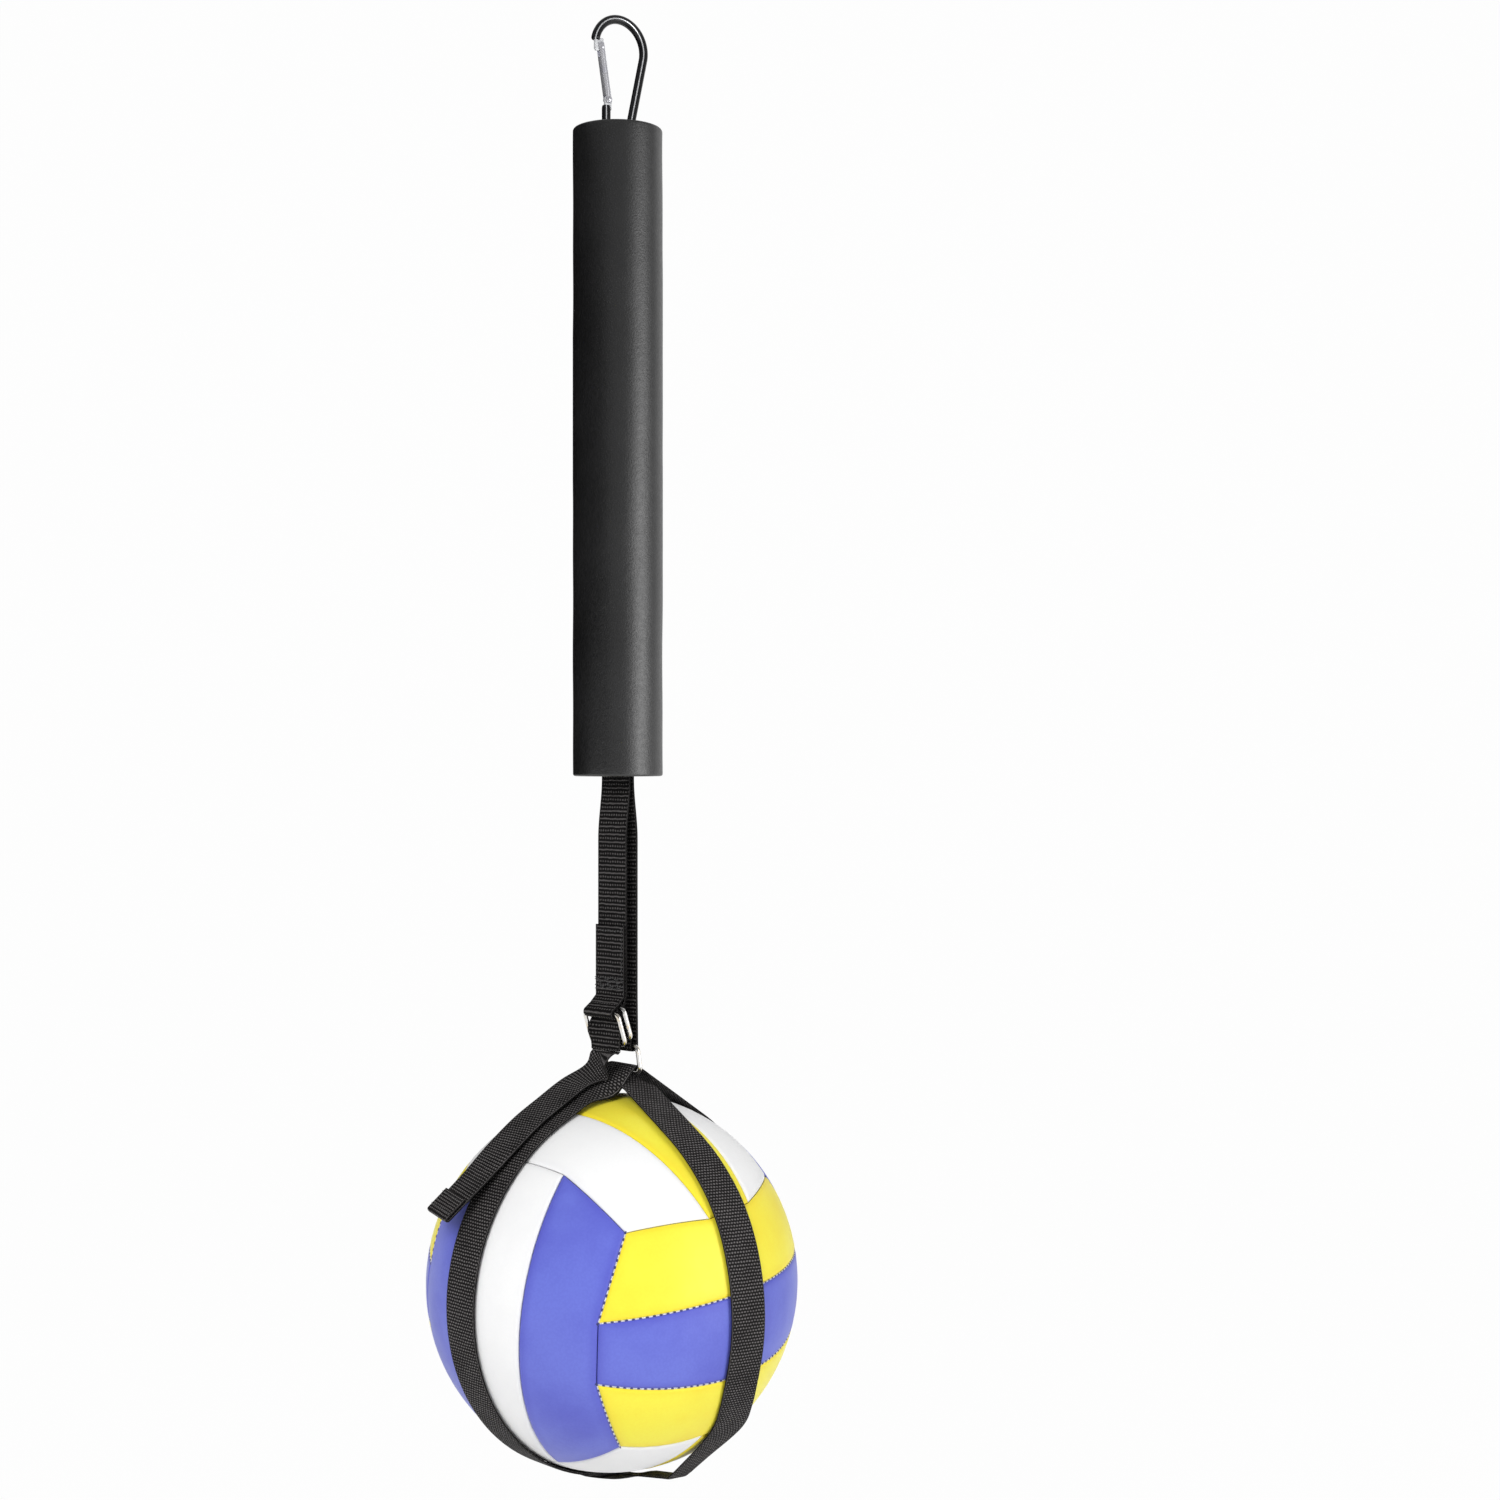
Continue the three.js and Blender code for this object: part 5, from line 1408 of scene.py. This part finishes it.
def rod_route():
    """The rod's middle, from its nose over the bend, down the spine and round the foot to the heel."""
    dx = FOOT_CENTRE[0] - HOOK_CENTRE[0]
    dz = FOOT_CENTRE[1] - HOOK_CENTRE[1]
    spine = math.atan2(dz, dx) + math.pi / 2 - math.asin((HOOK_RADIUS - FOOT_RADIUS) / math.hypot(dx, dz))
    route = arc_places(HOOK_CENTRE, HOOK_RADIUS, NOSE_ANGLE, spine, 90)
    route += arc_places(FOOT_CENTRE, FOOT_RADIUS, spine, -math.pi, 60)
    heel = (FOOT_CENTRE[0] - FOOT_RADIUS, GATE_PIVOT[1] - HEEL_DROP)
    return divide(route + [heel], 1.0)


def grooved_outline(groove):
    """The rod's section as places across and out: round, with a shallow groove down each face."""
    half = groove / 2
    turns = [ROD_RADIUS * math.cos(a * DEGREE) for a in range(0, 72, 8)]
    near = [1.0, 0.82, half + 0.04, half - 0.06, half - 0.16, half - 0.32, 0.15, 0.0]
    xs = turns + [x for x in near if x < turns[-1]]
    xs = xs + [-x for x in reversed(xs[:-1])]
    upper = []
    for x in xs:
        depth = GROOVE_DEPTH * smooth((half - abs(x)) / GROOVE_EDGE)
        upper.append((x, math.sqrt(max(ROD_RADIUS ** 2 - x * x, 0.0)) - depth))
    lower = [(x, -y) for x, y in reversed(upper[1:-1])]
    return upper + lower


def make_rod(groove):
    """The bent rod, turned a little about its own middle where it runs up and down."""
    route = rod_route()
    outline = grooved_outline(groove)
    rows = []
    for i, (u, z) in enumerate(route):
        before = route[max(i - 1, 0)]
        after = route[min(i + 1, len(route) - 1)]
        length = math.hypot(after[0] - before[0], after[1] - before[1])
        du, dz = (after[0] - before[0]) / length, (after[1] - before[1]) / length
        side = hook_point(dz, 0, -du)
        turn = SECTION_TURN * dz
        across = side * math.cos(turn) + HOOK_V * math.sin(turn)
        out = HOOK_V * math.cos(turn) - side * math.sin(turn)
        size = END_SIZES.get(min(i, len(route) - 1 - i), 1.0)
        rows.append([hook_point(u, 0, z) + (across * x + out * y) * size for x, y in outline])
    along = lengths([hook_point(u, 0, z) for u, z in route])
    return skin("carabiner_rod", rows, [x for x, y in outline] + [outline[0][0]], along)


def blade_outline():
    """The nose's blade, with the notch that takes the latch pin."""
    inner = PIN_PLACE[0] + BLADE_REACH
    outer = inner - BLADE_WIDTH
    top = NOSE_Z + BLADE_TOP_RISE
    low = top - BLADE_HEIGHT
    corner = [(outer, low + BLADE_CORNER), (outer + 0.4, low + 0.4), (outer + BLADE_CORNER, low)]
    notch = arc_places(PIN_PLACE, NOTCH_RADIUS, 270 * DEGREE, 90 * DEGREE, 12)
    mouth = [(inner, notch[0][1]), *notch, (inner, notch[-1][1])]
    return [(outer, top), *corner, (inner, low), *mouth, (inner, top)]


def tab_outline():
    """The hinge tab: round above the gate's pivot and straight down into the heel."""
    low = GATE_PIVOT[1] - TAB_DROP
    arc = arc_places(GATE_PIVOT, TAB_RADIUS, 0, math.pi, 15)
    return [(GATE_PIVOT[0] + TAB_RADIUS, low), *arc, (GATE_PIVOT[0] - TAB_RADIUS, low)]


def plate(name, outline, thickness):
    """A flat plate in the hook's plane with softened edges, from its outline."""
    count = len(outline)
    points = [hook_point(u, side * thickness / 2, z) for side in (-1, 1) for u, z in outline]
    faces = [tuple(range(count)), tuple(range(2 * count - 1, count - 1, -1))]
    faces += [(i, i + count, (i + 1) % count + count, (i + 1) % count) for i in range(count)]
    made = write_mesh(name, points, faces, [[(0.0, 0.0)] * len(face) for face in faces], soft=False)
    turn_outwards(made)
    edge = made.modifiers.new("Edge", "BEVEL")
    edge.width = PLATE_EDGE * MM
    edge.segments = 3
    edge.limit_method = "ANGLE"
    return apply_modifiers(made)


def domed_pin(name, centre, radius, head, thickness):
    """A pin square to the hook's plane, with a low domed head at each end."""
    half = PIN_LENGTH / 2
    dome = [(half + thickness * math.sin(a * DEGREE), head * math.cos(a * DEGREE)) for a in range(0, 81, 20)]
    profile = [(-x, r) for x, r in reversed(dome)] + [(-half, radius), (half, radius)] + dome
    return turned(name, profile, centre, HOOK_V, 28)


def cutting_block(name, low, high, thickness):
    """A block on the gate's axis, used to cut it."""
    points = [gate_point(reach, b * CUTTER_REACH, c * thickness / 2)
              for reach in (low, high) for b in (-1, 1) for c in (-1, 1)]
    faces = [(0, 1, 3, 2), (4, 6, 7, 5), (0, 4, 5, 1), (2, 3, 7, 6), (0, 2, 6, 4), (1, 5, 7, 3)]
    made = write_mesh(name, points, faces, soft=False)
    turn_outwards(made)
    return made


def make_tube(axis):
    """The gate's tube, with its bore and the slots for the blade above and the tab below."""
    profile = [(reach, GATE_RADIUS + out) for reach, out in GATE_HEEL]
    start, end = GATE_HEEL[-1][0], GATE_LENGTH + GATE_TIP[0][0]
    profile += [(reach, GATE_RADIUS) for reach in steps_to(start, end, 12)]
    profile += [(GATE_LENGTH + reach, GATE_RADIUS + out) for reach, out in GATE_TIP[1:]]
    tube = turned("gate", profile, gate_point(0), axis, 56)
    cut_away(tube, [
        turned("bore", [(-CUTTER_REACH, GATE_BORE), (GATE_BORE_END, GATE_BORE)], gate_point(0), axis),
        cutting_block("slot", GATE_LENGTH - SLOT_DEPTH, GATE_LENGTH + SLOT_DEPTH, SLOT_WIDTH),
        cutting_block("fork", -TAB_DROP, FORK_TOP, FORK_WIDTH),
    ])
    tube.data.polygons.foreach_set("use_smooth", [True] * len(tube.data.polygons))
    tube.data.set_sharp_from_angle(angle=40 * DEGREE)
    return tube


def steel():
    return shared("Bright steel", make_bright_metal, STEEL_COLOUR, STEEL_TINT, roughness=0.2, metallic=0.82)


class SPIKE_OT_carabiner(bpy.types.Operator):
    """Makes the grooved black hook with its nose blade, hinge tab and rivet"""
    bl_idname = "spike.carabiner"
    bl_label = "Carabiner"

    def execute(self, context):
        settings = context.scene.spike_metal
        black = shared("Black rod", make_black_metal, settings)
        hook = join_meshes("hook", [make_rod(settings.groove / MM),
                                    plate("carabiner_blade", blade_outline(), BLADE_THICKNESS),
                                    plate("carabiner_tab", tab_outline(), TAB_THICKNESS)])
        finish_piece(hook, "carabiner", "black_metal", black, "carabiner_body")
        rivet = domed_pin("hinge_rivet", gate_point(0), radius=0.8, head=1.4, thickness=0.5)
        finish_piece(rivet, "carabiner", "bright_steel", steel(), "gate_rivet")
        return {"FINISHED"}


class SPIKE_OT_gate(bpy.types.Operator):
    """Makes the round gate, forked at both ends, with its latch pin, plunger and spring"""
    bl_idname = "spike.gate"
    bl_label = "Gate"

    def execute(self, context):
        axis = (gate_point(1) - gate_point(0)).normalized()
        finish_piece(make_tube(axis), "gate", "bright_steel", steel(), "carabiner_gate")
        pin = domed_pin("latch_pin", gate_point(PIN_REACH), radius=0.7, head=1.0, thickness=0.3)
        finish_piece(pin, "gate", "bright_steel", steel(), "gate_latch_pin")
        plunger = turned("plunger", PLUNGER, gate_point(0), axis, 32)
        finish_piece(plunger, "gate", "bright_steel", steel(), "gate_plunger")
        place = about(gate_point(0), axis)
        steps = SPRING_TURNS * SPRING_TURN_STEPS
        coil = []
        for i in range(steps + 1):
            reach = SPRING_START + SPRING_LENGTH * i / steps
            coil.append(place(reach, SPRING_RADIUS, 2 * math.pi * i / SPRING_TURN_STEPS))
        spring = wire("spring", [coil], steel(), across=0.4, step=0.25, sides=8)
        finish_piece(spring, "gate", "bright_steel", None, "gate_spring")
        return {"FINISHED"}


# Foam sleeve

FOAM_TOP = -60.2
FOAM_SIDES = 96
FOAM_LONG_STEPS = 72
FOAM_BORE_STEPS = 20
# Waves of the foam's skin: height in millimetres, number round it, pace along it and start
FOAM_WAVES = ((0.12, 2, 0.021, 0.0), (0.1, 3, -0.043, 1.3), (0.08, 1, 0.11, 0.0))
FOAM_BULGE = 0.05
BORE_MARGIN = 2
SKIN_MARGIN = 0.4
BORE_SHOULDER = 1.2


def sleeve_profile(outer, bore, edge):
    """The wall's section as (radius, height) places: lower end, skin, upper end and bore."""
    low, high, inside = MOUTH_Z, FOAM_TOP, outer - edge
    profile = [(bore + 0.4, low + 0.25), (bore + 0.9, low), (inside - 3, low), (inside - 1, low)]
    profile += arc_places((inside, low + edge), edge, -math.pi / 2, 0, 9)
    profile += [(outer, z) for z in steps_to(low + edge, high - edge, FOAM_LONG_STEPS)[:-1]]
    profile += arc_places((inside, high - edge), edge, 0, math.pi / 2, 9)
    profile += [(inside - 1, high), (inside - 3, high), (bore + 0.9, high), (bore + 0.4, high - 0.25)]
    profile += [(bore, high - BORE_SHOULDER)]
    profile += [(bore, z) for z in steps_to(high - BORE_SHOULDER, low + BORE_SHOULDER, FOAM_BORE_STEPS)]
    return profile


def unevenness(turn, z):
    """How far the foam's skin stands out, or in, at a place."""
    waves = [height * math.sin(turn * number + z * pace + start) for height, number, pace, start
             in FOAM_WAVES]
    return min(sum(waves), FOAM_BULGE)


class SPIKE_OT_sleeve(bpy.types.Operator):
    """Makes the long foam sleeve with rounded ends and slightly uneven skin"""
    bl_idname = "spike.sleeve"
    bl_label = "Foam sleeve"

    def execute(self, context):
        settings = context.scene.spike_foam
        outer = settings.outer / MM / 2
        bore = settings.bore / MM / 2
        edge = settings.edge / MM
        profile = sleeve_profile(outer, bore, edge)
        turns = [2 * math.pi * k / FOAM_SIDES for k in range(FOAM_SIDES + 1)]
        rows = []
        for radius, z in profile:
            row = []
            for turn in turns[:-1]:
                reach = radius + unevenness(turn, z) if radius > bore + BORE_MARGIN else radius
                row.append(Vector((reach * math.cos(turn), reach * math.sin(turn), z)))
            rows.append(row)
        along = lengths([Vector(at) for at in profile], ring=True)
        made = skin("sleeve", rows, [outer * turn for turn in turns], along, ring=True)
        made.data.materials.append(shared("Foam skin", make_foam, settings))
        made.data.materials.append(shared("Cut foam", make_cut_foam, settings))
        for polygon in made.data.polygons:
            r = math.hypot(polygon.center.x, polygon.center.y) / MM
            polygon.material_index = 0 if r > outer - edge - SKIN_MARGIN else 1
        finish_piece(made, "sleeve", "foam", None, "foam_sleeve")
        return {"FINISHED"}


def ribbed(settings):
    return shared("Ribbed webbing", make_webbing, settings, dotted=0.0, rib_height=0.0006)


def woven(settings):
    return shared("Woven webbing", make_webbing, settings, dotted=1.0, rib_height=0.0004)


def sewn(name, paths, settings):
    """Rows of black stitches in webbing."""
    thread = shared("Black thread", make_thread, BLACK_THREAD)
    return stitches(name, paths, thread, settings.stitch / MM, share=0.78, thread=0.32)


class SPIKE_OT_strap(bpy.types.Operator):
    """Makes the doubled hanging strap, its sewn end and its rows of stitching"""
    bl_idname = "spike.strap"
    bl_label = "Hanging strap"

    def execute(self, context):
        settings = context.scene.spike_webbing
        strap = webbing("strap", strap_stations())
        finish_piece(strap, "strap", "webbing", ribbed(settings), "hanging_strap")
        finish_piece(sewn("sewn_end_stitches", sewn_rows(), settings), "strap", "webbing", None)
        return {"FINISHED"}


class SPIKE_OT_tail(bpy.types.Operator):
    """Makes the free strap end with its hem and stitches"""
    bl_idname = "spike.tail"
    bl_label = "Free strap end"

    def execute(self, context):
        settings = context.scene.spike_webbing
        row = tail_stations()
        tip = row[-1]
        along = (tip.point - row[-2].point).normalized()
        tail = webbing("free_end", row + hem_stations(tip, along))
        finish_piece(tail, None, "webbing", woven(settings), "strap_tail")
        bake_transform(tail)
        finish_piece(sewn("hem_stitches", hem_rows(tip, along), settings), "harness", "webbing", None)
        return {"FINISHED"}


def wire_ring(bar, height, lean, wire, room):
    """The path of a wire ring with rounded corners, hanging from its bar."""
    reach = WEBBING_HALF_WIDTH + room + wire / 2 - WIRE_CORNER
    half = arc_places((reach, WIRE_CORNER), WIRE_CORNER, -math.pi / 2, 0, 15)
    half += arc_places((reach, height - WIRE_CORNER), WIRE_CORNER, 0, math.pi / 2, 15)
    outline = half + [(-x, down) for x, down in reversed(half)]
    return [buckle_point(hung(bar, down, lean), x) for x, down in outline]


class SPIKE_OT_rings(bpy.types.Operator):
    """Makes the two wire rings of the buckle and the harness ring"""
    bl_idname = "spike.rings"
    bl_label = "Wire rings"

    def execute(self, context):
        settings = context.scene.spike_metal
        nickel = shared("Nickel wire", make_bright_metal, settings.nickel, NICKEL_TINT, roughness=0.14,
                        metallic=1.0)
        buckle = (BUCKLE_HEIGHT, BUCKLE_LEAN, settings.wire / MM, BUCKLE_ROOM)
        ring = (RING_HEIGHT, RING_LEAN, settings.ring_wire / MM, RING_ROOM)
        rings = (("buckle_ring_upper", INNER_BAR, buckle, "strap", "buckle_ring_inner"),
                 ("buckle_ring_lower", OUTER_BAR, buckle, "strap", "buckle_ring_outer"),
                 ("hanging_ring", UPPER_BAR, ring, "ring", "harness_ring"))
        for name, bar, (height, lean, across, room), body, node in rings:
            path = wire_ring(bar, height, lean, across, room)
            made = wire(name, [path], nickel, across, step=0.45, sides=28, ring=True)
            finish_piece(made, body, "nickel_wire", None, node)
        return {"FINISHED"}


class SPIKE_OT_harness(bpy.types.Operator):
    """Makes the two crossing webbing loops that hold the ball"""
    bl_idname = "spike.harness"
    bl_label = "Harness"

    def execute(self, context):
        fabric = woven(context.scene.spike_webbing)
        for name, stations in (("upper", upper_loop()), ("cross", cross_loop())):
            made = webbing(f"harness_{name}", stations, ring=True)
            finish_piece(made, "harness", "webbing", fabric, f"harness_{name}_strap")
        return {"FINISHED"}


VALVE_PANEL = ("left_opposite", 1)
VALVE_PROFILE = [(-6.5, 4.5), (-5.3, 4.5), (-5.3, 2.5), (-0.9, 2.5), (-0.7, 2.3), (-0.7, 0.9), (-1.4, 0.5),
                 (-6.5, 0.5)]
VALVE_HOLE_RADIUS = 2.8
VALVE_HOLE_REACH = 4
SEAM_THREAD_DEPTH = 0.55
SEAM_BASE_DEPTH = 0.63


class SPIKE_OT_ball(bpy.types.Operator):
    """Makes the eighteen cover panels and their seam stitches, and finishes the bladder and valve"""
    bl_idname = "spike.ball"
    bl_label = "Ball"

    def execute(self, context):
        settings = context.scene.spike_ball
        covers = {
            "blue": shared("Blue cover", make_cover, settings.blue, BLUE_TONE_AND_SHADE),
            "yellow": shared("Yellow cover", make_cover, settings.yellow, YELLOW_TONE_AND_SHADE),
            "white": shared("White cover", make_cover, settings.white, WHITE_TONE_AND_SHADE),
        }
        faces = ball_faces()
        valve_axis = faces[VALVE_PANEL[0]][0]
        valve_place = BALL_CENTRE + valve_axis * BALL_RADIUS
        for name, face in faces.items():
            seams = [outer_seam(face, -1), inner_seam(face, -1), inner_seam(face, 1), outer_seam(face, 1)]
            for k, colour in enumerate(face[3]):
                made = cover_panel(f"cover_{name}_{k + 1}", seams[k], seams[k + 1], settings.seam_drop / MM,
                                   settings.seam_reach / MM)
                if (name, k) == VALVE_PANEL:
                    ends = [(reach, VALVE_HOLE_RADIUS) for reach in (-VALVE_HOLE_REACH, VALVE_HOLE_REACH)]
                    cut_away(made, [turned("valve_drill", ends, valve_place, valve_axis)])
                finish_piece(made, "ball", f"{colour}_cover", covers[colour], f"panel_{name}_{k + 1}")
        rubber = shared("Bladder rubber", make_rubber)
        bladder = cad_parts["ball_bladder"]
        bladder.data.materials.clear()
        bladder.data.materials.append(rubber)
        valve = turned("valve", VALVE_PROFILE, valve_place, valve_axis, ring=True)
        finish_piece(valve, "ball", "bladder_rubber", rubber, "ball_valve")
        dark = shared("Navy thread", make_thread, NAVY_THREAD)
        pale = shared("White thread", make_thread, WHITE_THREAD)
        seams = seam_paths(faces, ("blue", "yellow"))
        rows = [[BALL_CENTRE + at * (BALL_RADIUS - SEAM_THREAD_DEPTH) for at in path] for path in seams]
        made = stitches("seam_stitches", rows, dark, settings.tick / MM, share=0.62, thread=0.52)
        finish_piece(made, "ball", "blue_cover", None)
        rows = [[BALL_CENTRE + at * (BALL_RADIUS - SEAM_BASE_DEPTH) for at in path] for path in seams]
        made = wire("seam_thread", rows, pale, across=0.8, step=1.5, sides=6)
        finish_piece(made, "ball", "white_cover", None)
        return {"FINISHED"}


# Stage

STAGE_REACH = 6.0
STAGE_FRONT = -3.0
STAGE_BACK = 3.0
STAGE_ROUND = 1.5
FLOOR_GLOW = 0.97
LENS = 57.6
CAMERA_PLACE = (0.075, -1.362, -0.412)
# The dark card's upright edges, in millimetres: x, y, lower end and upper end
CARD_COLUMNS = ((-420, -1100, -480, 60), (-420, -150, -480, 60), (-420, 150, -640, 420),
                (-420, 650, -640, 420), (-30, 1500, -640, 420))


def strip_faces(count):
    """Faces between neighbouring pairs of points."""
    return [(2 * i, 2 * i + 1, 2 * i + 3, 2 * i + 2) for i in range(count - 1)]


def make_floor():
    """A pale floor and backdrop that the camera and reflections see as white, with a soft shadow."""
    made = Finish("Pale floor", Roughness=0.9)
    cloud = made.noise(made.place(), scale=3.0, detail=3.0)
    shade = made.blend(made.spread(cloud, 0.3, 0.7, 0.0, 1.0), (0.9, 0.9, 0.9), (0.94, 0.94, 0.94))
    made.drive(Base_Color=shade)
    glow = made.tree.nodes.new("ShaderNodeEmission")
    glow.inputs["Strength"].default_value = 1.0
    blend = made.tree.nodes.new("ShaderNodeMixShader")
    path = made.tree.nodes.new("ShaderNodeLightPath")
    seen = Channel(made, path.outputs["Is Camera Ray"]).greater(Channel(made, path.outputs["Is Glossy Ray"]))
    seen = seen.greater(Channel(made, path.outputs["Is Transmission Ray"]))
    made.feed(blend.inputs[0], seen * FLOOR_GLOW)
    made.tree.links.new(made.shader.outputs[0], blend.inputs[1])
    made.tree.links.new(glow.outputs[0], blend.inputs[2])
    made.tree.links.new(blend.outputs[0], made.output.inputs[0])
    return made.material


def area_light(name, place, target, size, power):
    """A lamp of that width and height, in metres, turned to its target."""
    light = bpy.data.lights.new(name, "AREA")
    light.shape = "RECTANGLE"
    light.size, light.size_y = size
    light.energy = power
    made = bpy.data.objects.new(name, light)
    made.location = place
    made.rotation_euler = (Vector(target) - Vector(place)).to_track_quat("-Z", "Y").to_euler()
    bpy.context.scene.collection.objects.link(made)
    return made


def dark_card():
    """Black card at the left that only reflections see: it keeps the sleeve's left side dark."""
    points = [Vector((x, y, z)) for x, y, low, high in CARD_COLUMNS for z in (low, high)]
    card = write_mesh("dark_card", points, strip_faces(len(CARD_COLUMNS)))
    made = Finish("Black cloth", Specular_IOR_Level=0.0)
    weave = made.noise(made.place(), scale=60.0, detail=2.0)
    made.drive(Base_Color=made.blend(weave, (0.002, 0.002, 0.002), (0.004, 0.004, 0.004)))
    card.data.materials.append(made.material)
    card.visible_camera = card.visible_diffuse = card.visible_shadow = False


def make_world(strength):
    """An even white sky of that strength."""
    world = bpy.data.worlds.new("Soft studio")
    world.use_nodes = True
    nodes = world.node_tree.nodes
    nodes.clear()
    output = nodes.new("ShaderNodeOutputWorld")
    ambient = nodes.new("ShaderNodeBackground")
    ambient.inputs["Color"].default_value = (1, 1, 1, 1)
    ambient.inputs["Strength"].default_value = strength
    world.node_tree.links.new(ambient.outputs[0], output.inputs[0])
    return world


def make_camera():
    """A level camera in front of the trainer."""
    lens = bpy.data.cameras.new("Camera")
    lens.sensor_width = 36
    lens.lens = LENS
    lens.clip_start = 0.05
    lens.clip_end = 50
    camera = bpy.data.objects.new("Camera", lens)
    camera.location = CAMERA_PLACE
    camera.rotation_euler = (math.pi / 2, 0, 0)
    bpy.context.scene.collection.objects.link(camera)
    return camera


class SPIKE_OT_stage(bpy.types.Operator):
    """Makes the floor, backdrop, lights, world and camera"""
    bl_idname = "spike.stage"
    bl_label = "Stage"

    def execute(self, context):
        scene = context.scene
        settings = scene.spike_stage
        level = settings.floor_level
        bend = (STAGE_BACK - STAGE_ROUND, level + STAGE_ROUND)
        line = [(STAGE_FRONT, level), *arc_places(bend, STAGE_ROUND, -math.pi / 2, 0, 9),
                (STAGE_BACK, level + STAGE_REACH)]
        points = [Vector((x, y, z)) / MM for y, z in line for x in (-STAGE_REACH, STAGE_REACH)]
        floor = write_mesh("floor", points, strip_faces(len(line)))
        floor.data.materials.append(make_floor())
        dark_card()
        scene.world = make_world(settings.ambient)
        key = area_light("Key light", place=(-0.9, -2.2, 0.8), target=(0, 0, -0.65), size=(1.4, 1.4),
                         power=settings.key_power)
        key.visible_glossy = False
        area_light("Side light", place=(1.75, -0.85, -0.62), target=(0, 0, -0.66), size=(1.2, 1.65),
                   power=settings.fill_power)
        scene.view_settings.view_transform = "Standard"
        scene.camera = make_camera()
        return {"FINISHED"}


STEPS = ("spike.stage", "spike.carabiner", "spike.gate", "spike.sleeve", "spike.strap", "spike.rings",
         "spike.tail", "spike.harness", "spike.ball")


class SPIKE_PT_trainer(bpy.types.Panel):
    """The steps that dress the spike trainer, and their sizes and colours"""
    bl_idname = "SPIKE_PT_trainer"
    bl_label = "Spike trainer"
    bl_space_type = "VIEW_3D"
    bl_region_type = "UI"
    bl_category = "Spike trainer"

    def draw(self, context):
        for step in STEPS:
            self.layout.operator(step)
        for name in SETTINGS:
            box = self.layout.box()
            group = getattr(context.scene, name)
            for key in group.__annotations__:
                box.prop(group, key)


SETTINGS = {
    "spike_foam": FoamSettings,
    "spike_webbing": WebbingSettings,
    "spike_metal": MetalSettings,
    "spike_ball": BallSettings,
    "spike_stage": StageSettings,
}
CLASSES = (*SETTINGS.values(), SPIKE_OT_stage, SPIKE_OT_carabiner, SPIKE_OT_gate, SPIKE_OT_sleeve,
           SPIKE_OT_strap, SPIKE_OT_rings, SPIKE_OT_tail, SPIKE_OT_harness, SPIKE_OT_ball, SPIKE_PT_trainer)


def register():
    for kind in CLASSES:
        bpy.utils.register_class(kind)
    for name, kind in SETTINGS.items():
        setattr(bpy.types.Scene, name, bpy.props.PointerProperty(type=kind))


def unregister():
    for name in SETTINGS:
        delattr(bpy.types.Scene, name)
    for kind in reversed(CLASSES):
        bpy.utils.unregister_class(kind)


def main():
    register()
    for step in STEPS:
        group, name = step.split(".")
        getattr(getattr(bpy.ops, group), name)()


if __name__ == "__main__":
    main()
